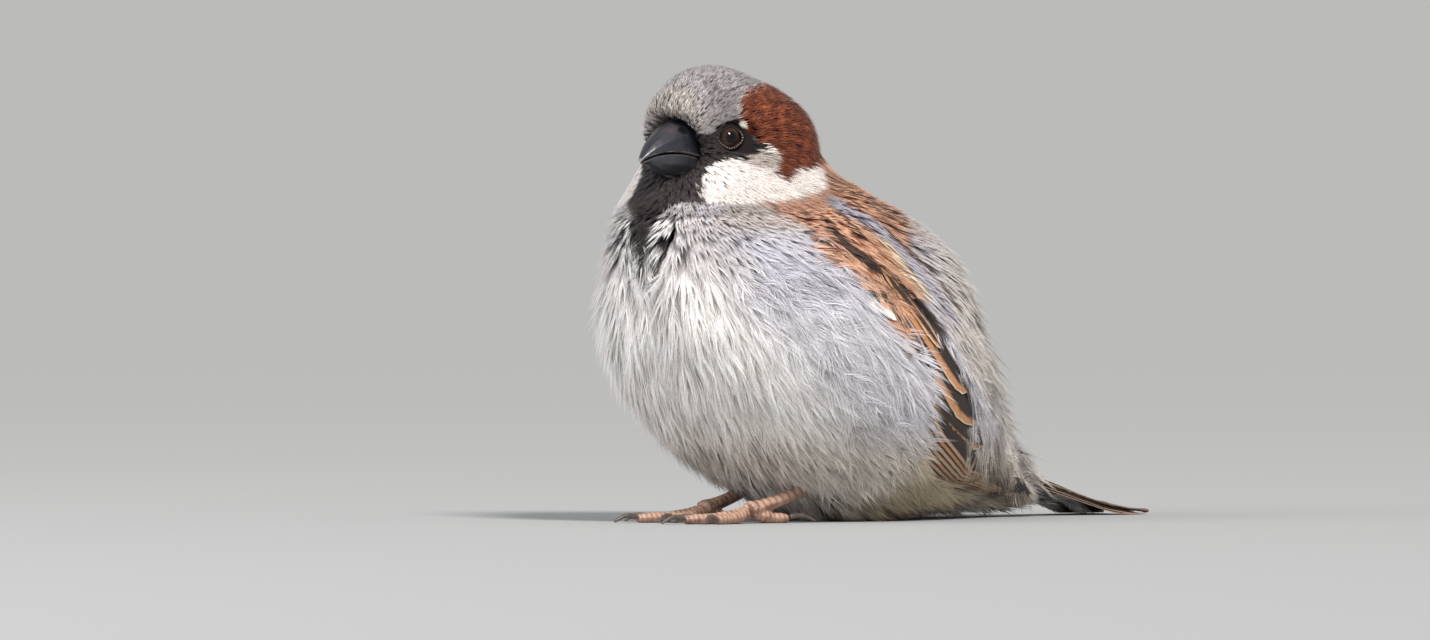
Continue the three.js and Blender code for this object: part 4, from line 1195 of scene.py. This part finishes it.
MOUTH = ([0, 0.16, 0.35, 0.6, 0.82, 1], [0.8, 1.2, 1.7, 1.8, 1.3, 0])  # rise of the mouth line over the tip
BILL_FROM, BILL_TIP, BILL_TIP_Z = 9.0, 23.0, 63.6
NOSTRIL, NOSTRIL_HALF, NOSTRIL_DEEP = (13.7, 69.4), (1.15, 0.75), 0.5  # forward and height, and mm
MOUTH_PALE = {"upper": 0.85, "lower": 0.15}  # how pale each half's cutting edge is

for part in ("upper", "lower"):
    o = remade(f"bill_{part}_horn", [f"bill_{part}"], BILL_VOXEL, BILL_SWELL, rounds=6)
    p, n = points_of(o), read(o, "normal")
    side, forward, z = head_place(p)
    side = np.abs(side)
    t = (forward - BILL_FROM) / (BILL_TIP - BILL_FROM)
    mouth = BILL_TIP_Z + np.interp(t, *MOUTH)
    c = np.tile(tint("#25272f" if part == "upper" else "#33343a"), (len(p), 1))
    c = c * (1 + 0.18 * mottle(p, 1.6))[:, None]
    worn = smooth(z - mouth, 2.5, 5) * smooth(side, 0, 1.6) * smooth(forward, 13.5, 16) * 0.35
    c = blend(c, tint("#6b5a58"), worn)
    c = blend(c, tint("#a79a95"),
              smooth(0.40 - np.abs(z - mouth), 0, 0.14) * smooth(side, 0.15, 0.5) * MOUTH_PALE[part])
    c = blend(c, tint("#a89c98"), smooth(t, 0.965, 1.0) * 0.8)
    gloss = 1.0
    if part == "lower":  # it thins towards its tip
        p[:, 2] = mouth - (mouth - z) * (1 - 0.42 * smooth(t, 0.62, 0.95))
    else:
        pit = np.hypot((forward - NOSTRIL[0]) / NOSTRIL_HALF[0], (z - NOSTRIL[1]) / NOSTRIL_HALF[1])
        pit = np.where(side > 1.0, pit, FAR)
        p = p - n * (NOSTRIL_DEEP * smooth(1.2 - pit, 0, 0.9))[:, None]
        # the nostril pit is painted near black: painted shade inside the hole
        c = blend(c, tint("#0d0b0b"), smooth(1.1 - pit, 0, 0.5))
        gloss = 1 - 0.9 * smooth(1.4 - pit, 0, 0.4)
    put_points(o, p)
    put_colours(o, np.clip(c, 0, 1), gloss)
    o.data.materials.append(horn)
    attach(o, "root")
    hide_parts(f"bill_{part}")

# ---- eyes
IRIS_HALF, PUPIL_HALF = 1.78, 1.0  # mm
GAZE_REACH = 4  # mm out from the middle of the gaze, which the gaze field counts as 1
EYE_INK = "#060505"
# A wet, clear cornea over a dark brown iris: mirror-smooth, so that it holds a small bright highlight. The
# iris has flecks, 3.8 to the mm
cornea, nodes, gaze, fleck = grained("eye_cornea_wet", 1 / 3.8, detail=2.0, field="gaze")
ramp = add(nodes, "ValToRGB", {"Fac": gaze.outputs["Fac"]})
pupil, iris = PUPIL_HALF / GAZE_REACH, IRIS_HALF / GAZE_REACH
marks = [(0.0, EYE_INK), (0.55, "#0d0a09"), (pupil, EYE_INK), (pupil + 0.02, "#2b1a14"),
         (iris - 0.06, "#38241b"), (iris, "#1b1310")]
stops = ramp.color_ramp.elements
stops[0].position, stops[1].position = marks[0][0], marks[1][0]
stops[0].color, stops[1].color = rgba(marks[0][1]), rgba(marks[1][1])
for spot, code in marks[2:]:
    stops.new(spot).color = rgba(code)
finish_surface(nodes, {"Base Color": flecked(nodes, ramp.outputs["Color"], fleck, (0.35, 0.65), (0.7, 1.25)),
                       "Roughness": 0.06, "IOR": 1.37})

LID_BEADS, LID_ROUND, LID_HALF, BEAD_RISE = 26, 104, 1.95, 0.09  # the last two in mm
LID_DARK, LID_PALE = tint("#1c1918"), tint("#a69d97")
# the lids' rings, each as mm out from LID_HALF, mm up from the ball there, and how pale its beads are
LID_RINGS = [(-0.12, -0.55, 0), (-0.02, 0.02, 0), (0.07, 0.17, 0.6), (0.22, 0.20, 1), (0.36, 0.12, 0.5),
             (0.42, 0.02, 0), (0.8, -0.30, 0), (1.5, -1.0, 0)]
lids = []
for side_name, sign in SIDES.items():
    centre = on_head(sign * EYE_SIDE, EYE_AHEAD, EYE_Z)
    look_way = unit(TO_SIDE * sign * math.cos(EYE_SPLAY) + AHEAD * math.sin(EYE_SPLAY))
    deselect()
    bpy.ops.mesh.primitive_uv_sphere_add(segments=64, ring_count=40, radius=EYE_RADIUS * MM,
                                         location=tuple(to_frame(centre)),
                                         rotation=Vector(look_way).to_track_quat("Z", "Y").to_euler())
    ball = bpy.context.object
    ball.name = f"eyeball_{side_name}"
    bpy.ops.object.transform_apply(location=True, rotation=True, scale=True)
    p = points_of(ball)
    q = p - centre
    off = np.linalg.norm(q - dot(q, look_way)[:, None] * look_way, axis=1)
    front = dot(q, look_way) > 0
    bulge = 0.22 * smooth(1.9 - off, 0, 1.6) * front
    put_points(ball, p + bulge[:, None] * look_way)
    gaze_at = ball.data.attributes.new("gaze", "FLOAT", "POINT")
    gaze_at.data.foreach_set("value", np.where(front, off / GAZE_REACH, 1.0).astype(np.float32))
    bpy.ops.object.shade_smooth()
    ball.data.materials.append(cornea)
    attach(ball, "root")
    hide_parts(f"eye_{side_name}")

    # the lids: a low ring of small beads on the ball, falling away to the skin of the face
    level = unit(AHEAD - look_way * (AHEAD @ look_way))
    above = np.array([0.0, 0.0, 1.0])
    a = np.linspace(0, 2 * math.pi, LID_ROUND, endpoint=False)
    almond = 1.0 + 0.10 * np.cos(2 * a) + 0.05 * np.cos(4 * a)
    bead = 0.5 + 0.5 * np.cos(a * LID_BEADS)
    # the beads are pale mostly below the eye; above it the lid is painted dark: painted shadow of the brow
    below_eye = smooth(-np.sin(a + 0.35), -0.75, 0.2)
    rings, tones = [], []
    for out, up, paleness in LID_RINGS:
        radius = LID_HALF * almond + out
        rise = math.sqrt(EYE_RADIUS ** 2 - LID_HALF ** 2) + up + BEAD_RISE * bead * (paleness > 0.5)
        rings.append(centre + look_way * rise[:, None] + level * (radius * np.cos(a))[:, None]
                     + above * (radius * 0.93 * np.sin(a))[:, None])
        pale = paleness * (0.05 + 0.95 * bead ** 3) * (0.12 + 0.88 * below_eye)
        tones.append(blend(LID_DARK, LID_PALE, pale))
    k = np.arange(LID_ROUND)
    k_next = (k + 1) % LID_ROUND
    quads = np.concatenate([np.stack([k, k_next, k_next + LID_ROUND, k + LID_ROUND], -1) + r * LID_ROUND
                            for r in range(len(rings) - 1)])
    lids.append(mesh_piece(f"lid_{side_name}", np.concatenate(rings), quads[:, ::sign], [],
                           np.concatenate(tones)))

# ---- the skin
WING_DEPTH, WING_DARK, TAIL_BELOW = 0.55, tint("#2f2826"), tint("#85776b")  # WING_DEPTH in mm
depth = coat_depth(outer)
band_s, band_v = wing_place(outer)
y = outer[:, 1]
depth = depth + (WING_DEPTH - depth) * smooth(1.0 - np.abs(band_v), 0, 0.25) * smooth(band_s, -4, 2)
depth = depth * (0.5 + 0.5 * smooth(from_eye(*head_place(outer)), 2.2, 4.5))
in_tail = np.interp((y - TAIL_FROM) / TAIL_LENGTH, *TAIL_THICK)
depth = depth + (0.6 * in_tail - depth) * smooth(y, 47, 53)
put_points(skin, outer - outer_normals * depth[:, None])
apply_modifier(skin, "SMOOTH", factor=0.5, iterations=3)
rows = looks_at(outer)
skin_tone = rows[:, 0:3] * 0.4 + rows[:, 9:12] * 0.5  # the feathers' colour and the down's, in their shade
skin_tone = blend(skin_tone, WING_DARK, smooth(1.0 - np.abs(band_v), 0, 0.1) * smooth(band_s, 2, 6))
tail_share = smooth(y, 46, 52)
skin_tone = blend(skin_tone, WING_DARK, tail_share)
skin_tone = blend(skin_tone, TAIL_BELOW, tail_share * smooth(-outer_normals[:, 2], -0.1, 0.2))
put_colours(skin, skin_tone)

# Skin under the coat, seen only between feathers: matt and soft, in the coat's own markings. Its bumps are
# the feathers' sockets, about 1.4 mm apart
skin_under, nodes, tone, grain = grained("feathered_skin", 1 / 0.7, detail=5.0)
finish_surface(nodes, {"Base Color": tone.outputs["Color"], "Roughness": 0.9, "Specular IOR Level": 0.1},
               height=grain.outputs["Fac"], strength=0.6, deep=0.4)

# Horny leg scales about 0.7 mm wide: pinkish brown with a slight waxy gloss on each, darker grooves between,
# a painted highlight on their tops and painted shade underneath
skin_scales, nodes, tone, cells = grained("leg_scale_skin", 1 / 1.5, detail=None,
                                          texture="TexVoronoi")
finish_surface(nodes, {"Base Color": tone.outputs["Color"], "Roughness": 0.42},
               height=cells.outputs["Distance"], strength=0.3, deep=0.12)

FOOT = {"left": ((7, -20, 2.2), -12), "right": ((-7, -17.5, 2.2), -14)}  # the ball of the foot, and its turn
TOE = {"inner": (-24, 9.5), "middle": (0, 13.5), "outer": (22, 10), "hind": (178, 8)}  # turn out, and length
SHANK_PITCH, TOE_PITCH = 1.45, 1.0  # mm from scute to scute
SCUTE_DEEP, SCUTE_SWELL = 0.12, 0.06  # mm
INTO_COAT, SHANK_HALF, SHANK_LONG = 3.6, 2.6, 12  # mm: each leg goes this far on up through the coat
LEG_PINK, LEG_BROWN, LEG_HIGHLIGHT = tint("#b08a76"), tint("#86675a"), tint("#d8b5a0")


def along_bone(p, start, way, low=-np.inf, high=np.inf):
    """How far points are along a bone, held between two ends, and how far out from it."""
    along = np.clip((p - start) @ way, low, high)
    return along, np.linalg.norm(p - start - along[:, None] * way, axis=1)


legs = remade("legs", LEGS, LEG_VOXEL, LEG_SWELL, rounds=5)
p, n = points_of(legs), read(legs, "normal")
nearest, groove, sink = np.full(len(p), np.inf), np.zeros(len(p)), np.zeros((len(p), 3))
for side_name, (ball, foot_turn) in FOOT.items():
    ball, hock = np.array(ball, float), HOCKS[side_name]
    way = unit(ball - hock)
    down_leg, away = along_bone(p, hock, way)
    on_shank = (away < SHANK_HALF) & (down_leg < SHANK_LONG)
    top_of_leg = down_leg[on_shank].min()
    sink -= way * (INTO_COAT * smooth(top_of_leg + 3 - down_leg, 0, 3) * on_shank)[:, None]
    bones = [(hock, ball, SHANK_PITCH)]
    for toe_turn, reach in TOE.values():
        angle = math.radians(foot_turn + SIDES[side_name] * toe_turn)
        bones.append((ball, ball + reach * np.array([math.sin(angle), -math.cos(angle), -0.1]), TOE_PITCH))
    for start, end, pitch in bones:
        along, away = along_bone(p, start, unit(end - start), 0, np.linalg.norm(end - start))
        groove = np.where(away < nearest, np.abs(np.sin(math.pi * along / pitch)), groove)
        nearest = np.minimum(nearest, away)
on_top = smooth(n[:, 2], -0.2, 0.5)
raised = groove ** 0.5
p = p + n * ((raised - 0.75) * SCUTE_DEEP * on_top + SCUTE_SWELL)[:, None] + sink
p[:, 2] = np.maximum(p[:, 2], 0.02)  # the toes stay just above the floor
put_points(legs, p)
c = blend(LEG_PINK, LEG_BROWN, smooth(mottle(p, 2.2), -0.3, 0.7))
# the tops of the raised scales are painted lighter: painted highlight
c = blend(c, LEG_HIGHLIGHT, 0.45 * on_top * smooth(raised, 0.6, 1.0))
# darker in the grooves between scales, and faces turned down are painted darker: painted shade
c = c * (0.55 + 0.45 * smooth(raised, 0.25, 0.7))[:, None] * (0.72 + 0.28 * on_top)[:, None]
put_colours(legs, np.clip(c, 0, 1))

skin.data.materials.append(skin_under)
for lid in lids:
    lid.data.materials.append(skin_under)
legs.data.materials.append(skin_scales)
take(skin, legs, *lids)
bpy.ops.object.join()
skin.name = "skin"
bpy.ops.object.shade_smooth()
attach(skin, "root")
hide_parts(*FLESH, *LEGS)

# ---- claws
# Claw horn: dark grey-brown and smooth, with paler worn patches about 0.8 mm across
claw_horn, nodes, _, grain = grained("claw_horn", 1 / 1.2, detail=3.0, field=None)
ramp = add(nodes, "ValToRGB", {"Fac": grain.outputs["Fac"]})
ramp.color_ramp.elements[0].color, ramp.color_ramp.elements[1].color = rgba("#3a322e"), rgba("#6d6159")
finish_surface(nodes, {"Base Color": ramp.outputs["Color"], "Roughness": 0.34},
               height=grain.outputs["Fac"], strength=0.2, deep=0.1)
for side_name in SIDES:
    names = [f"claw_{side_name}_{t}" for t in TOES]
    o = copy_nodes(f"claws_{side_name}", names)
    apply_modifier(o, "SUBSURF", levels=2, render_levels=2)
    bpy.ops.object.shade_smooth()
    o.data.materials.append(claw_horn)
    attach(o, "root")
    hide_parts(*names)
